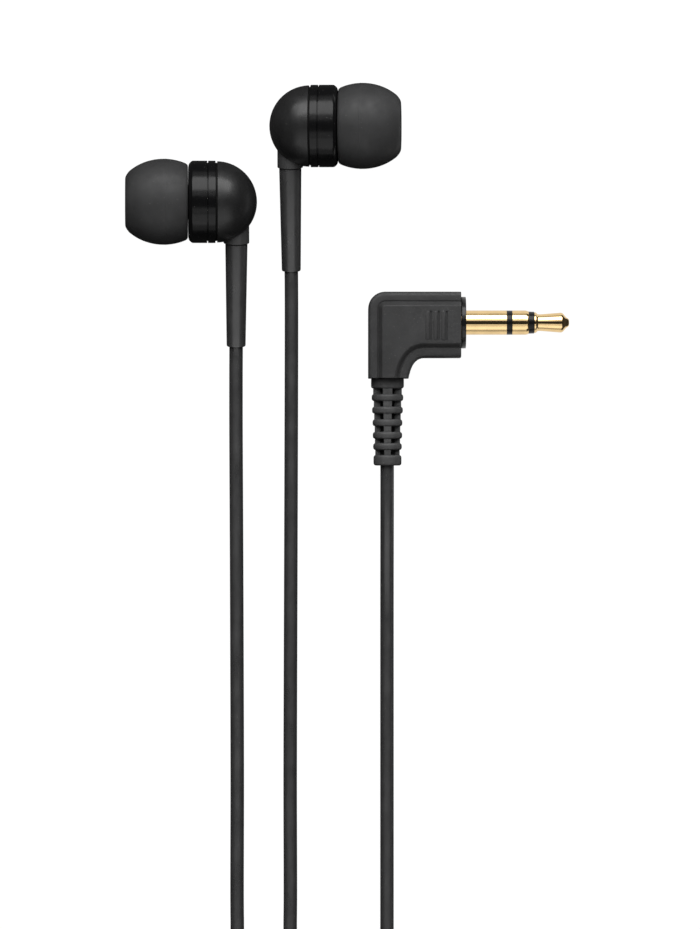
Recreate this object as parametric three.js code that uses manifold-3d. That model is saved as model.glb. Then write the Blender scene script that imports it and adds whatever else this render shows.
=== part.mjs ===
// Wired in-ear earphones lying on a table: two earphones, an angled 3.5 mm stereo plug and the cord
// between them.
// Millimetres, +Z up, the table at z = 0, the origin on the table under the middle of the two earphones.
import * as THREE from "three";
import { mergeVertices } from "three/addons/utils/BufferGeometryUtils.js";
import Module from "manifold-3d";

const wasm = await Module();
wasm.setup();

// ---- Fineness ----
const SHELL_SIDES = 24;
const SMALL_SIDES = 16;
const CORD_SIDES = 8;
const CORD_STEP = 4.6;

// ---- Earphone: x runs along the nozzle from the seam between the shells, + towards the ear ----
const BAND_RADIUS = 5.87;
const DOME_RADIUS = 5.8;
const CAVITY_RADIUS = 4.85;
const SEAM_HALF_GAP = 0.16;
const TRIM_RING_FRONT = 1.17;
const FRONT_SHELL_BACK = 1.31;
const FRONT_SHELL_FRONT = 3.96;
const BAND_CORNER = 0.7;
const FRONT_WALL_BACK = 3.06;
const NOZZLE_RADIUS = 2.35;
const NOZZLE_BORE = 1.75;
const NOZZLE_LIP = 2.72;
const NOZZLE_FRONT = 8.5;

const TIP_RADIUS = 6.13;
const TIP_WIDEST = 7.5;
const TIP_HALF_LENGTH = 7.02;
const TIP_BACK = 4.2;
const TIP_FRONT = 13;
const TIP_SOUND_BORE = 1.9;
const TIP_SLEEVE_BORE = 2.95;
const TIP_SLEEVE_RADIUS = 3.7;
const TIP_SLEEVE_END = 8.8;
const TIP_SKIN = 0.6;

// ---- Stem: distances are from the nozzle's axis, down the stem ----
const STEM_X = -2.88;
const NECK_RADIUS = 1.84;
const NECK_BORE = 1.5;
const NECK_START = 2;
const NECK_END = 5.97;
const NECK_EDGE = 0.2;
const BOOT_START = 4.3;
const BOOT_PLUG_RADIUS = 1.3;
const BOOT_SHOULDER = 6.05;
const BOOT_END = 20.95;
const BOOT_TOP_RADIUS = 1.59;
const BOOT_END_RADIUS = 1.36;
const BOOT_ROUND = 0.25;
const CORD_BORE = 1.06;
const KNOT_RADIUS = 1.25;
const KNOT_DEPTH = 1.8;
const KNOT_CORD_RADIUS = CORD_BORE - 0.1;
const KNOT_CORD_END = BOOT_END - 0.15;

// ---- Driver: outlines of [x, radius], and the other pieces' places along the nozzle's axis ----
const DRIVER_FRAME = [[-0.6, 2.75], [-0.6, 4.5], [2.1, 4.5], [2.1, 4.15], [-0.1, 4.15], [-0.1, 2.75]];
const DRIVER_YOKE = [[-0.9, 0], [-0.9, 2.55], [1, 2.55], [1, 2.08], [-0.5, 2.08], [-0.5, 0]];
const DRIVER_MAGNET = { back: -0.35, front: 0.55, radius: 1.5 };
const DRIVER_TOP_PLATE = { back: 0.65, front: 0.95, radius: 1.6 };
const VOICE_COIL = { back: 0.2, front: 1.45, inner: 1.72, outer: 1.92 };
const DIAPHRAGM_BACK = [[2, 0], [1.85, 1.1], [1.55, 1.9], [1.75, 2.9], [1.55, 4]];
const DIAPHRAGM_FILM = 0.15;
const DAMPING_DISC = { back: -0.95, front: -0.75, inner: 2.9, outer: 4.1 };
const DRIVER_GRILLE = { back: 2.5, front: 2.75, radius: 4.5 };
const GRILLE_HOLES = 6;
const GRILLE_HOLE_RADIUS = 0.6;
const GRILLE_HOLE_RING = 2.6;
const TERMINAL_BOARD = { thickness: 0.4, length: 4.2, width: 3.4, x: -1.3 };
const NOZZLE_MESH = { back: 7.9, front: 8.1, radius: NOZZLE_BORE - 0.12 };

// ---- How each earphone lies: on its tip, the band's edge and the end of the boot ----
const LEAN = THREE.MathUtils.degToRad(2.03);
const ROLL = THREE.MathUtils.degToRad(12.3);
const SEAM_X = 6.68;
const SEAM_Z = 5.86;
const LEFT_Y = 1.9;
const RIGHT_Y = 12.72;

// ---- Cord ----
const CORD_RADIUS = 0.975;
const MEETING_GAP = 0.3;
const STRAND_PITCH = 1.98;
const COIL_HEIGHT = 2 * CORD_RADIUS + STRAND_PITCH;

// ---- Plug: the contacts' axis runs along +X ----
const PLUG_AXIS_Y = -15.27;
const PLUG_AXIS_Z = 3.8;
const PLUG_LEFT = 14.98;
const PLUG_RIGHT = 28.25;
const PLUG_TOP = -10.91;
const PLUG_ARM_BOTTOM = -20.32;
const PLUG_NECK_BOTTOM = -23.26;
const PLUG_CORNER = 2.43;
const PLUG_ELBOW = { neckX: 20.75, neckSlant: 0.25, controlX: 21.3, armX: 23 };
const PLUG_SLAB_THICKNESS = 6.1;
const PANEL_INSET = 1.1;
const PANEL_BEVEL = 0.75;
const SLAB_BEVEL = 0.9;
const GRIP_LINES = [23.92, 25.04, 26.16];
const GRIP_LINE = { width: 0.35, length: 4.2, depth: 0.25, y: -15.77 };
const CORE_SPACE = { back: 18.6, front: 26, radius: 2.7 };
const CONTACT_SPACE_RADIUS = 2;
const PLUG_CORE = [[18.9, 0], [18.9, 2.45], [25.6, 2.45], [25.6, 1.95], [20.1, 1.95], [20.1, 0]];
const COLLAR = { back: PLUG_RIGHT + 0.06, front: 28.96, inner: 1.9, outer: 3.7 };

// ---- Contacts: they nest, each one's tube running back into the core inside the one before ----
const CONTACT_RADIUS = 1.75;
const CONTACT_ENDS = { sleeve: 34.81, rearInsulator: 35.58, ring: 37.94, frontInsulator: 38.72, tip: 43.75 };
const BUTT_GAP = 0.04;
const SLEEVE_TUBE = { back: 22.6, bore: 1.5 };
const REAR_INSULATOR_TUBE = { back: 22.1, radius: 1.42, bore: 1.26 };
const RING_TUBE = { back: 21.6, radius: 1.16, bore: 0.97 };
const FRONT_INSULATOR_TUBE = { back: 21.1, radius: 0.87, bore: 0.65 };
const FRONT_INSULATOR_RADIUS = 1.585;
const TIP_PIN = { back: 20.6, radius: 0.55 };
const TIP_HEAD_RADIUS = 1.475;
const TIP_WAIST_RADIUS = 1.2;

// ---- Plug's strain relief: rings on a thinner core, from the plug towards the cord ----
const RELIEF_X = 17.75;
const RELIEF_TOP = PLUG_NECK_BOTTOM - 0.1;
const RELIEF_HEAD_END = -24.71;
const RELIEF_HEAD_RADIUS = 2.35;
const RELIEF_RIBS = [
  { from: -25.5, to: -26.5, radius: 2.26 },
  { from: -27.3, to: -28.3, radius: 2.2 },
  { from: -29.1, to: -30.1, radius: 2.13 },
  { from: -30.9, to: -31.9, radius: 2.1 },
  { from: -32.5, to: -33.5, radius: 2.05 },
];
const RELIEF_RIB_HEIGHT = 0.28;
const RELIEF_TAIL_RADIUS = 1.75;
const RELIEF_END_RING = { from: -34.21, to: -35.5, radius: 2 };
const RELIEF_BOTTOM = -35.72;

// ---- Coils of the put-away cord, beside the table's near edge ----
const COIL_HALF_WIDTH = 2.5 * STRAND_PITCH + CORD_RADIUS;
const EAR_COIL = { x: -14.87, y: -125, mean: 10.9 };
const MAIN_COIL = { x: 33, y: -125, mean: 10.35 };
const SPLITTER = {
  top: -140,
  bottom: -154,
  shoulder: 7,
  thickness: 4.6,
  topWidth: 6.2,
  bottomWidth: 3.6,
  bevel: 1.2,
};

// ---- Where the cords run: their middles at rest on the table, and in a coil's top layer ----
const REST = CORD_RADIUS + 0.02;
const TOP_STRAND = REST + STRAND_PITCH;
const EAR_CORD_X = 3.8;
const MAIN_CORD_X = 17.7;

const FINISHES = {
  matteShell: { color: 0x2b2b2b, roughness: 0.55, metalness: 0 },
  glossShell: { color: 0x141414, roughness: 0.15, metalness: 0 },
  silicone: { color: 0x343434, roughness: 0.75, metalness: 0 },
  softSleeve: { color: 0x1a1a1a, roughness: 0.6, metalness: 0 },
  cordJacket: { color: 0x262626, roughness: 0.6, metalness: 0 },
  plugMould: { color: 0x3a3a3a, roughness: 0.65, metalness: 0 },
  innerPlastic: { color: 0xd8d4c8, roughness: 0.5, metalness: 0 },
  insulator: { color: 0x0c0c0c, roughness: 0.3, metalness: 0 },
  gold: { color: 0xe8c46a, roughness: 0.15, metalness: 1 },
  steel: { color: 0xb0b0b0, roughness: 0.35, metalness: 1 },
  magnet: { color: 0x8c8c90, roughness: 0.3, metalness: 1 },
  copper: { color: 0xb8703c, roughness: 0.35, metalness: 1 },
  film: { color: 0xc8c09a, roughness: 0.25, metalness: 0 },
  felt: { color: 0xe6e6e0, roughness: 0.95, metalness: 0 },
  board: { color: 0x1f6b3a, roughness: 0.5, metalness: 0 },
};

// A named mesh with a material of its own.
function piece(name, geometry, finish) {
  const mesh = new THREE.Mesh(geometry, new THREE.MeshStandardMaterial(FINISHES[finish]));
  mesh.name = name;
  return mesh;
}

// A solid turned about the X axis from an outline of [x, radius] points, in either direction.
// An outline that doesn't touch the axis is closed back to its first point.
function turned(outline, sides) {
  const points = outline.map(([x, radius]) => new THREE.Vector2(radius, x));
  if (THREE.ShapeUtils.area(points) < 0) {
    points.reverse();
  }
  if (points[0].x > 0) {
    points.push(points[0].clone());
  }
  return new THREE.LatheGeometry(points, sides).rotateZ(-Math.PI / 2);
}

// The same, turned about the stem's axis, with [depth down the stem, radius] points.
function turnedOnStem(outline, sides) {
  return turned(outline, sides).rotateZ(-Math.PI / 2).translate(STEM_X, 0, 0);
}

// Points on an arc about [x, radius], with angles in degrees from the X axis.
function arc(x, radius, size, from, to, steps) {
  return Array.from({ length: steps + 1 }, (_, i) => {
    const angle = THREE.MathUtils.degToRad(from + ((to - from) * i) / steps);
    return [x + size * Math.cos(angle), Math.max(0, radius + size * Math.sin(angle))];
  });
}

// A box of the given size along x, y and z.
function box(x, y, z, centre) {
  return new THREE.BoxGeometry(x, y, z).translate(...centre);
}

// A closed geometry as a solid that can be joined and cut.
function toSolid(geometry) {
  const bare = new THREE.BufferGeometry();
  const loose = geometry.index ? geometry.toNonIndexed() : geometry;
  bare.setAttribute("position", loose.getAttribute("position"));
  const merged = mergeVertices(bare, 1e-4);
  return new wasm.Manifold(
    new wasm.Mesh({
      numProp: 3,
      vertProperties: merged.attributes.position.array,
      triVerts: new Uint32Array(merged.index.array),
    }),
  );
}

function toGeometry(solid) {
  const { vertProperties, triVerts } = solid.getMesh();
  const geometry = new THREE.BufferGeometry();
  geometry.setAttribute("position", new THREE.BufferAttribute(vertProperties, 3));
  geometry.setIndex(new THREE.BufferAttribute(triVerts, 1));
  geometry.computeVertexNormals();
  return geometry;
}

// Joins the first list of geometries and cuts the second list away.
function carve(joined, cuts) {
  let solid = toSolid(joined[0]);
  for (const geometry of joined.slice(1)) {
    solid = solid.add(toSolid(geometry));
  }
  for (const geometry of cuts) {
    solid = solid.subtract(toSolid(geometry));
  }
  return toGeometry(solid);
}

// ---------------------------------------------------------------- earphone shells

// The dome with the short neck that the cord's boot plugs into.
function rearShell() {
  const dome = turned([...arc(0, 0, DOME_RADIUS, 180, 91.6, 9), [-SEAM_HALF_GAP, 0]], SHELL_SIDES);
  const cavity = turned([...arc(0, 0, CAVITY_RADIUS, 180, 92, 7), [1, CAVITY_RADIUS], [1, 0]], SHELL_SIDES);
  const neck = turnedOnStem(
    [
      [NECK_START, 0],
      [NECK_START, NECK_RADIUS],
      [NECK_END - NECK_EDGE, NECK_RADIUS],
      [NECK_END, NECK_RADIUS - NECK_EDGE],
      [NECK_END, 0],
    ],
    SMALL_SIDES,
  );
  const boreEnd = NECK_END + 1;
  const bore = turnedOnStem(
    [[NECK_START, 0], [NECK_START, NECK_BORE], [boreEnd, NECK_BORE], [boreEnd, 0]],
    SMALL_SIDES,
  );
  return carve([dome, neck], [cavity, bore]);
}

// The band's rear ring, against the seam.
function trimRing() {
  return turned(
    [
      [SEAM_HALF_GAP, CAVITY_RADIUS],
      [SEAM_HALF_GAP, BAND_RADIUS - 0.12],
      [SEAM_HALF_GAP + 0.12, BAND_RADIUS],
      [TRIM_RING_FRONT - 0.08, BAND_RADIUS],
      [TRIM_RING_FRONT, BAND_RADIUS - 0.08],
      [TRIM_RING_FRONT, CAVITY_RADIUS],
    ],
    SHELL_SIDES,
  );
}

// The band's front part and, in one with it, the nozzle with its lip.
function frontShell() {
  return turned(
    [
      [FRONT_SHELL_BACK, CAVITY_RADIUS],
      [FRONT_SHELL_BACK, BAND_RADIUS],
      ...arc(FRONT_SHELL_FRONT - BAND_CORNER, BAND_RADIUS - BAND_CORNER, BAND_CORNER, 90, 0, 3),
      [FRONT_SHELL_FRONT, NOZZLE_RADIUS],
      [NOZZLE_FRONT - 1, NOZZLE_RADIUS],
      [NOZZLE_FRONT - 0.8, NOZZLE_LIP],
      [NOZZLE_FRONT - 0.3, NOZZLE_LIP],
      [NOZZLE_FRONT, NOZZLE_RADIUS + 0.1],
      [NOZZLE_FRONT, NOZZLE_BORE],
      [FRONT_WALL_BACK, NOZZLE_BORE],
      [FRONT_WALL_BACK, CAVITY_RADIUS],
    ],
    SHELL_SIDES,
  );
}

// A thin round disc between two places on the nozzle's axis.
function disc({ back, front, radius }) {
  return turned([[back, 0], [back, radius], [front, radius], [front, 0]], SMALL_SIDES);
}

// A plain ring about the nozzle's axis.
function ring({ back, front, inner, outer }) {
  return turned([[back, inner], [back, outer], [front, outer], [front, inner]], SMALL_SIDES);
}

// ---------------------------------------------------------------- ear tip

// The outside of the tip is one ellipse, widest at TIP_WIDEST.
function tipRadius(x) {
  return TIP_RADIUS * Math.sqrt(1 - ((x - TIP_WIDEST) / TIP_HALF_LENGTH) ** 2);
}

// A hollow skirt folded back from the mouth of a sleeve that grips the nozzle.
function earTip() {
  const outside = [4.6, 5.5, 6.5, 7.5, 8.5, 9.6, 10.6, 11.5, 12.2].map((x) => [x, tipRadius(x)]);
  const inside = [9.3, 7.9, 6.4, TIP_BACK].map((x) => [x, tipRadius(x) - TIP_SKIN]);
  return turned(
    [
      [TIP_BACK, tipRadius(TIP_BACK) - 0.3],
      ...outside,
      [12.75, 3.95],
      [TIP_FRONT, 3.45],
      [TIP_FRONT, TIP_SOUND_BORE],
      [TIP_SLEEVE_END, TIP_SOUND_BORE],
      [TIP_SLEEVE_END, TIP_SLEEVE_BORE],
      [TIP_BACK, TIP_SLEEVE_BORE],
      [TIP_BACK, TIP_SLEEVE_RADIUS],
      [9.4, TIP_SLEEVE_RADIUS],
      [10.1, 4.4],
      ...inside,
    ],
    SHELL_SIDES,
  );
}

// ---------------------------------------------------------------- dynamic driver

// A domed film with a rolled surround.
function diaphragm() {
  const front = DIAPHRAGM_BACK.map(([x, radius]) => [x + DIAPHRAGM_FILM, radius]).reverse();
  return turned([...DIAPHRAGM_BACK, ...front], SMALL_SIDES);
}

// A plate with a ring of round holes.
function driverGrille() {
  const { back, front } = DRIVER_GRILLE;
  const holes = Array.from({ length: GRILLE_HOLES }, (_, i) => {
    const angle = (i * 2 * Math.PI) / GRILLE_HOLES;
    const hole = [
      [back - 1, 0],
      [back - 1, GRILLE_HOLE_RADIUS],
      [front + 1, GRILLE_HOLE_RADIUS],
      [front + 1, 0],
    ];
    return turned(hole, CORD_SIDES).translate(
      0,
      GRILLE_HOLE_RING * Math.cos(angle),
      GRILLE_HOLE_RING * Math.sin(angle),
    );
  });
  return carve([disc(DRIVER_GRILLE)], holes);
}

// ---------------------------------------------------------------- stem

// The tapered boot over the cord, plugged into the neck.
function strainRelief() {
  return turnedOnStem(
    [
      [BOOT_START, CORD_BORE],
      [BOOT_START, BOOT_PLUG_RADIUS],
      [BOOT_SHOULDER, BOOT_PLUG_RADIUS],
      [BOOT_SHOULDER, BOOT_TOP_RADIUS],
      [BOOT_END - BOOT_ROUND, BOOT_END_RADIUS],
      [BOOT_END, BOOT_END_RADIUS - BOOT_ROUND],
      [BOOT_END, CORD_BORE],
    ],
    SMALL_SIDES,
  );
}

// The end of the cord inside the boot, with the knot that keeps it in the shell.
function cordKnot() {
  const knotToCord = THREE.MathUtils.radToDeg(Math.asin(KNOT_CORD_RADIUS / KNOT_RADIUS));
  return turnedOnStem(
    [
      ...arc(KNOT_DEPTH, 0, KNOT_RADIUS, 180, knotToCord, 5),
      [KNOT_CORD_END, KNOT_CORD_RADIUS],
      [KNOT_CORD_END, 0],
    ],
    SMALL_SIDES,
  );
}

// ---------------------------------------------------------------- one earphone

// side is 1 for the right earphone, whose tip points to +X, and -1 for the left one.
function earphone(prefix, side, y) {
  const { thickness, length, width, x: boardX } = TERMINAL_BOARD;
  const pieces = [
    ["rear_shell", rearShell(), "matteShell"],
    ["trim_ring", trimRing(), "glossShell"],
    ["front_shell", frontShell(), "glossShell"],
    ["nozzle_mesh", disc(NOZZLE_MESH), "steel"],
    ["ear_tip", earTip(), "silicone"],
    ["driver_frame", turned(DRIVER_FRAME, SMALL_SIDES), "innerPlastic"],
    ["driver_yoke", turned(DRIVER_YOKE, SMALL_SIDES), "steel"],
    ["driver_magnet", disc(DRIVER_MAGNET), "magnet"],
    ["driver_top_plate", disc(DRIVER_TOP_PLATE), "steel"],
    ["voice_coil", ring(VOICE_COIL), "copper"],
    ["diaphragm", diaphragm(), "film"],
    ["driver_grille", driverGrille(), "steel"],
    ["damping_disc", ring(DAMPING_DISC), "felt"],
    ["terminal_board", box(thickness, length, width, [boardX, 0, 0]), "board"],
    ["strain_relief", strainRelief(), "softSleeve"],
    ["cord_knot", cordKnot(), "cordJacket"],
  ];
  const facing = new THREE.Group();
  facing.rotation.y = side > 0 ? 0 : Math.PI;
  for (const [name, geometry, finish] of pieces) {
    facing.add(piece(`${prefix}_${name}`, geometry, finish));
  }
  const lying = new THREE.Group();
  lying.rotation.set(ROLL, -side * LEAN, 0, "YXZ");
  lying.position.set(side * SEAM_X, y, SEAM_Z);
  lying.add(facing);
  return lying;
}

// ---------------------------------------------------------------- plug

// The L-shaped outline, carried on past both open ends so that those ends can be cut square.
function plugOutline() {
  const past = 3;
  const { neckX, neckSlant, controlX, armX } = PLUG_ELBOW;
  const shape = new THREE.Shape();
  shape.moveTo(PLUG_LEFT, PLUG_NECK_BOTTOM - past);
  shape.lineTo(neckX - neckSlant, PLUG_NECK_BOTTOM - past);
  shape.lineTo(neckX, PLUG_NECK_BOTTOM);
  shape.quadraticCurveTo(controlX, PLUG_ARM_BOTTOM, armX, PLUG_ARM_BOTTOM);
  shape.lineTo(PLUG_RIGHT + past, PLUG_ARM_BOTTOM);
  shape.lineTo(PLUG_RIGHT + past, PLUG_TOP);
  shape.absarc(PLUG_LEFT + PLUG_CORNER, PLUG_TOP - PLUG_CORNER, PLUG_CORNER, Math.PI / 2, Math.PI, false);
  shape.closePath();
  return shape;
}

// A plate of the plug's outline, drawn in by inset, with bevelled edges.
function plugPlate(inset, thickness, bevel) {
  return new THREE.ExtrudeGeometry(plugOutline(), {
    curveSegments: 5,
    depth: thickness - 2 * bevel,
    bevelThickness: bevel,
    bevelSize: bevel,
    bevelOffset: -bevel - inset,
    bevelSegments: 2,
  }).translate(0, 0, PLUG_AXIS_Z - thickness / 2 + bevel);
}

// A cylinder about the plug's cord, from one y to another.
function alongPlugCord(from, to, radius) {
  return new THREE.CylinderGeometry(radius, radius, to - from, SMALL_SIDES).translate(
    RELIEF_X,
    (from + to) / 2,
    PLUG_AXIS_Z,
  );
}

// A solid turned about the contacts' axis.
function onPlugAxis(outline) {
  return turned(outline, SMALL_SIDES).translate(0, PLUG_AXIS_Y, PLUG_AXIS_Z);
}

// The moulded body: a slab with a raised panel on each face, hollow for the core and the cord.
function plugBody() {
  const rightCut = box(10, 40, 20, [PLUG_RIGHT + 5, PLUG_AXIS_Y, PLUG_AXIS_Z]);
  const bottomCut = box(40, 10, 20, [PLUG_LEFT + 10, PLUG_NECK_BOTTOM - 5, PLUG_AXIS_Z]);
  const { back, front, radius } = CORE_SPACE;
  const coreSpace = onPlugAxis([[back, 0], [back, radius], [front, radius], [front, 0]]);
  const contactSpace = onPlugAxis([
    [front - 1, 0],
    [front - 1, CONTACT_SPACE_RADIUS],
    [PLUG_RIGHT + 1, CONTACT_SPACE_RADIUS],
    [PLUG_RIGHT + 1, 0],
  ]);
  const cordBore = alongPlugCord(PLUG_NECK_BOTTOM - 1, PLUG_AXIS_Y, CORD_BORE);
  const { width, length, depth, y } = GRIP_LINE;
  const lines = GRIP_LINES.flatMap((x) =>
    [0, 2 * PLUG_AXIS_Z].map((z) => box(width, length, 2 * depth, [x, y, z])),
  );
  return carve(
    [
      plugPlate(0, PLUG_SLAB_THICKNESS, SLAB_BEVEL),
      plugPlate(PANEL_INSET, 2 * PLUG_AXIS_Z, PANEL_BEVEL),
    ],
    [rightCut, bottomCut, coreSpace, contactSpace, cordBore, ...lines],
  );
}

// A washer, its outside showing from back to front, with a thinner tube behind it.
function contactWithTube(back, front, outer, tube) {
  return onPlugAxis([
    [tube.back, tube.bore],
    [tube.back, tube.radius],
    [back + BUTT_GAP, tube.radius],
    [back + BUTT_GAP, outer],
    [front, outer],
    [front, tube.bore],
  ]);
}

// The pin through the middle of the contacts, with the rounded tip on its end.
function plugTip() {
  const back = CONTACT_ENDS.frontInsulator + BUTT_GAP;
  return onPlugAxis([
    [TIP_PIN.back, 0],
    [TIP_PIN.back, TIP_PIN.radius],
    [back, TIP_PIN.radius],
    [back, TIP_HEAD_RADIUS],
    [back + 0.25, TIP_HEAD_RADIUS],
    [back + 0.5, TIP_WAIST_RADIUS],
    [back + 0.9, TIP_WAIST_RADIUS],
    [CONTACT_ENDS.tip - 1, TIP_HEAD_RADIUS - 0.025],
    [CONTACT_ENDS.tip - 0.35, 0.65],
    [CONTACT_ENDS.tip, 0.45],
    [CONTACT_ENDS.tip, 0],
  ]);
}

// Rings that get smaller towards the cord on a thinner core.
function plugStrainRelief() {
  const outline = [
    [RELIEF_TOP, CORD_BORE],
    [RELIEF_TOP, RELIEF_HEAD_RADIUS],
    [RELIEF_HEAD_END, RELIEF_HEAD_RADIUS],
  ];
  for (const { from, to, radius } of RELIEF_RIBS) {
    const core = radius - RELIEF_RIB_HEIGHT;
    outline.push([outline.at(-1)[0], core], [from, core], [from, radius], [to, radius]);
  }
  const end = RELIEF_END_RING;
  outline.push(
    [outline.at(-1)[0], RELIEF_TAIL_RADIUS],
    [end.from, RELIEF_TAIL_RADIUS],
    [end.from, end.radius],
    [end.to, end.radius],
    [RELIEF_BOTTOM, RELIEF_TAIL_RADIUS],
    [RELIEF_BOTTOM, CORD_BORE],
  );
  return new THREE.LatheGeometry(
    [...outline, outline[0]].map(([y, radius]) => new THREE.Vector2(radius, y)).reverse(),
    SMALL_SIDES,
  ).translate(RELIEF_X, 0, PLUG_AXIS_Z);
}

// Every piece of the plug, in place.
function plug() {
  const ends = CONTACT_ENDS;
  const outer = CONTACT_RADIUS;
  const collar = [
    [COLLAR.back, COLLAR.inner],
    [COLLAR.back, COLLAR.outer],
    [COLLAR.front, COLLAR.outer],
    [COLLAR.front, COLLAR.inner],
  ];
  const sleeve = [
    [SLEEVE_TUBE.back, SLEEVE_TUBE.bore],
    [SLEEVE_TUBE.back, outer],
    [ends.sleeve, outer],
    [ends.sleeve, SLEEVE_TUBE.bore],
  ];
  const rearInsulator = contactWithTube(ends.sleeve, ends.rearInsulator, outer, REAR_INSULATOR_TUBE);
  const contactRing = contactWithTube(ends.rearInsulator, ends.ring, outer, RING_TUBE);
  const frontInsulator = contactWithTube(
    ends.ring,
    ends.frontInsulator,
    FRONT_INSULATOR_RADIUS,
    FRONT_INSULATOR_TUBE,
  );
  const cordEndTop = PLUG_AXIS_Y - CORE_SPACE.radius - 0.23;
  const cordEnd = alongPlugCord(RELIEF_BOTTOM + 0.12, cordEndTop, CORD_RADIUS - 0.02);
  const group = new THREE.Group();
  group.add(
    piece("plug_body", plugBody(), "plugMould"),
    piece("plug_core", onPlugAxis(PLUG_CORE), "innerPlastic"),
    piece("plug_collar", onPlugAxis(collar), "plugMould"),
    piece("plug_sleeve", onPlugAxis(sleeve), "gold"),
    piece("plug_rear_insulator", rearInsulator, "insulator"),
    piece("plug_ring", contactRing, "gold"),
    piece("plug_front_insulator", frontInsulator, "insulator"),
    piece("plug_tip", plugTip(), "gold"),
    piece("plug_strain_relief", plugStrainRelief(), "softSleeve"),
    piece("plug_cord_end", cordEnd, "cordJacket"),
  );
  return group;
}

// ---------------------------------------------------------------- cords

// A round cord along points chosen by hand, drawn through as one smooth curve.
function cord(name, points) {
  const corners = points.map((point) => new THREE.Vector3(...point));
  const path = new THREE.CatmullRomCurve3(corners, false, "centripetal");
  const section = new THREE.Shape();
  section.absarc(0, 0, CORD_RADIUS, 0, 2 * Math.PI, false);
  const geometry = new THREE.ExtrudeGeometry(section, {
    steps: Math.max(4, Math.round(path.getLength() / CORD_STEP)),
    curveSegments: CORD_SIDES,
    extrudePath: path,
  });
  return piece(name, geometry, "cordJacket");
}

// The closed outer shape of a coil of cord lying on the table.
function coil(name, { x, y, mean }) {
  const inner = mean - COIL_HALF_WIDTH;
  const outer = mean + COIL_HALF_WIDTH;
  const height = COIL_HEIGHT;
  const round = CORD_RADIUS;
  const geometry = turned(
    [
      [0, inner + round],
      [0, outer - round],
      [round, outer],
      [height - round, outer],
      [height, outer - round],
      [height, inner + round],
      [height - round, inner],
      [round, inner],
    ],
    SHELL_SIDES,
  );
  return piece(name, geometry.rotateY(-Math.PI / 2).translate(x, y, 0), "cordJacket");
}

// Where the two ear cords join: wide at the top, waisted down to the single cord.
function splitter() {
  const { top, bottom, shoulder, thickness, topWidth, bottomWidth, bevel } = SPLITTER;
  const wide = topWidth / 2;
  const narrow = bottomWidth / 2;
  const waist = top - shoulder;
  const shape = new THREE.Shape();
  shape.moveTo(-wide, top);
  shape.bezierCurveTo(-wide, waist, -narrow, waist, -narrow, bottom);
  shape.lineTo(narrow, bottom);
  shape.bezierCurveTo(narrow, waist, wide, waist, wide, top);
  shape.closePath();
  const geometry = new THREE.ExtrudeGeometry(shape, {
    curveSegments: 5,
    depth: thickness - 2 * bevel,
    bevelThickness: bevel,
    bevelSize: bevel,
    bevelOffset: -bevel,
    bevelSegments: 2,
  });
  return piece("cord_splitter", geometry.translate(0, 0, bevel), "softSleeve");
}

// The end of a boot: where the cord leaves it, and the two places that it heads for.
function bootExit(side, y) {
  const pose = new THREE.Euler(ROLL, -side * LEAN, 0, "YXZ");
  const seam = new THREE.Vector3(side * SEAM_X, y, SEAM_Z);
  return [MEETING_GAP, 1.6, 3].map((past) =>
    new THREE.Vector3(side * STEM_X, -BOOT_END - past, 0).applyEuler(pose).add(seam),
  );
}

// How far from the line through a coil's middle a cord at x has to stop to stay off the coil's solid.
function coilMouth({ x: coilX, mean }, x) {
  const nearSide = Math.abs(x - coilX) - CORD_RADIUS;
  return Math.sqrt((mean + COIL_HALF_WIDTH) ** 2 - nearSide ** 2) + MEETING_GAP;
}

// From the boot down the table, drifting to EAR_CORD_X, then in beside the other cord to the coil.
function upperEarCord(name, side, y, coilX) {
  const [start, next, level] = bootExit(side, y);
  const x = side * EAR_CORD_X;
  const end = EAR_COIL.y + coilMouth(EAR_COIL, coilX);
  return cord(name, [
    start.toArray(),
    [next.x, next.y, Math.max(REST + 0.06, next.z)],
    [level.x, level.y - 1, REST],
    [level.x, level.y - 8, REST],
    [(level.x + x) / 2, -50, REST],
    [x, -80, REST],
    [x, -101, REST],
    [x + 0.04 * (coilX - x), -104, REST],
    [x + 0.5 * (coilX - x), -108, REST],
    [x + 0.96 * (coilX - x), -112, REST],
    [coilX, end, REST],
  ]);
}

// Side by side from the coil's top turns down to the splitter.
function lowerEarCord(name, x) {
  const start = EAR_COIL.y - coilMouth(EAR_COIL, x);
  return cord(name, [
    [x, start, TOP_STRAND],
    [x, start - 1.4, TOP_STRAND - 0.2],
    [x, SPLITTER.top + MEETING_GAP + 1, SPLITTER.thickness / 2 + 0.05],
    [x, SPLITTER.top + MEETING_GAP, SPLITTER.thickness / 2],
  ]);
}

// Out of the splitter, down to the table and round to the second coil.
function lowerMainCord() {
  const start = SPLITTER.bottom - MEETING_GAP;
  const splitterZ = SPLITTER.thickness / 2;
  const turnRadius = MAIN_CORD_X / 2;
  const turnY = start - 7;
  const turnSteps = 8;
  const turn = Array.from({ length: turnSteps + 1 }, (_, i) => {
    const angle = Math.PI + (i * Math.PI) / turnSteps;
    return [turnRadius + turnRadius * Math.cos(angle), turnY + turnRadius * Math.sin(angle), REST];
  });
  return cord("main_cord_lower", [
    [0, start, splitterZ],
    [0, start - 1.5, splitterZ - 0.1],
    [0, start - 3.5, REST + 0.6],
    [0, start - 5.3, REST + 0.12],
    ...turn,
    [MAIN_CORD_X, -150, REST],
    [MAIN_CORD_X, MAIN_COIL.y - coilMouth(MAIN_COIL, MAIN_CORD_X), REST],
  ]);
}

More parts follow.
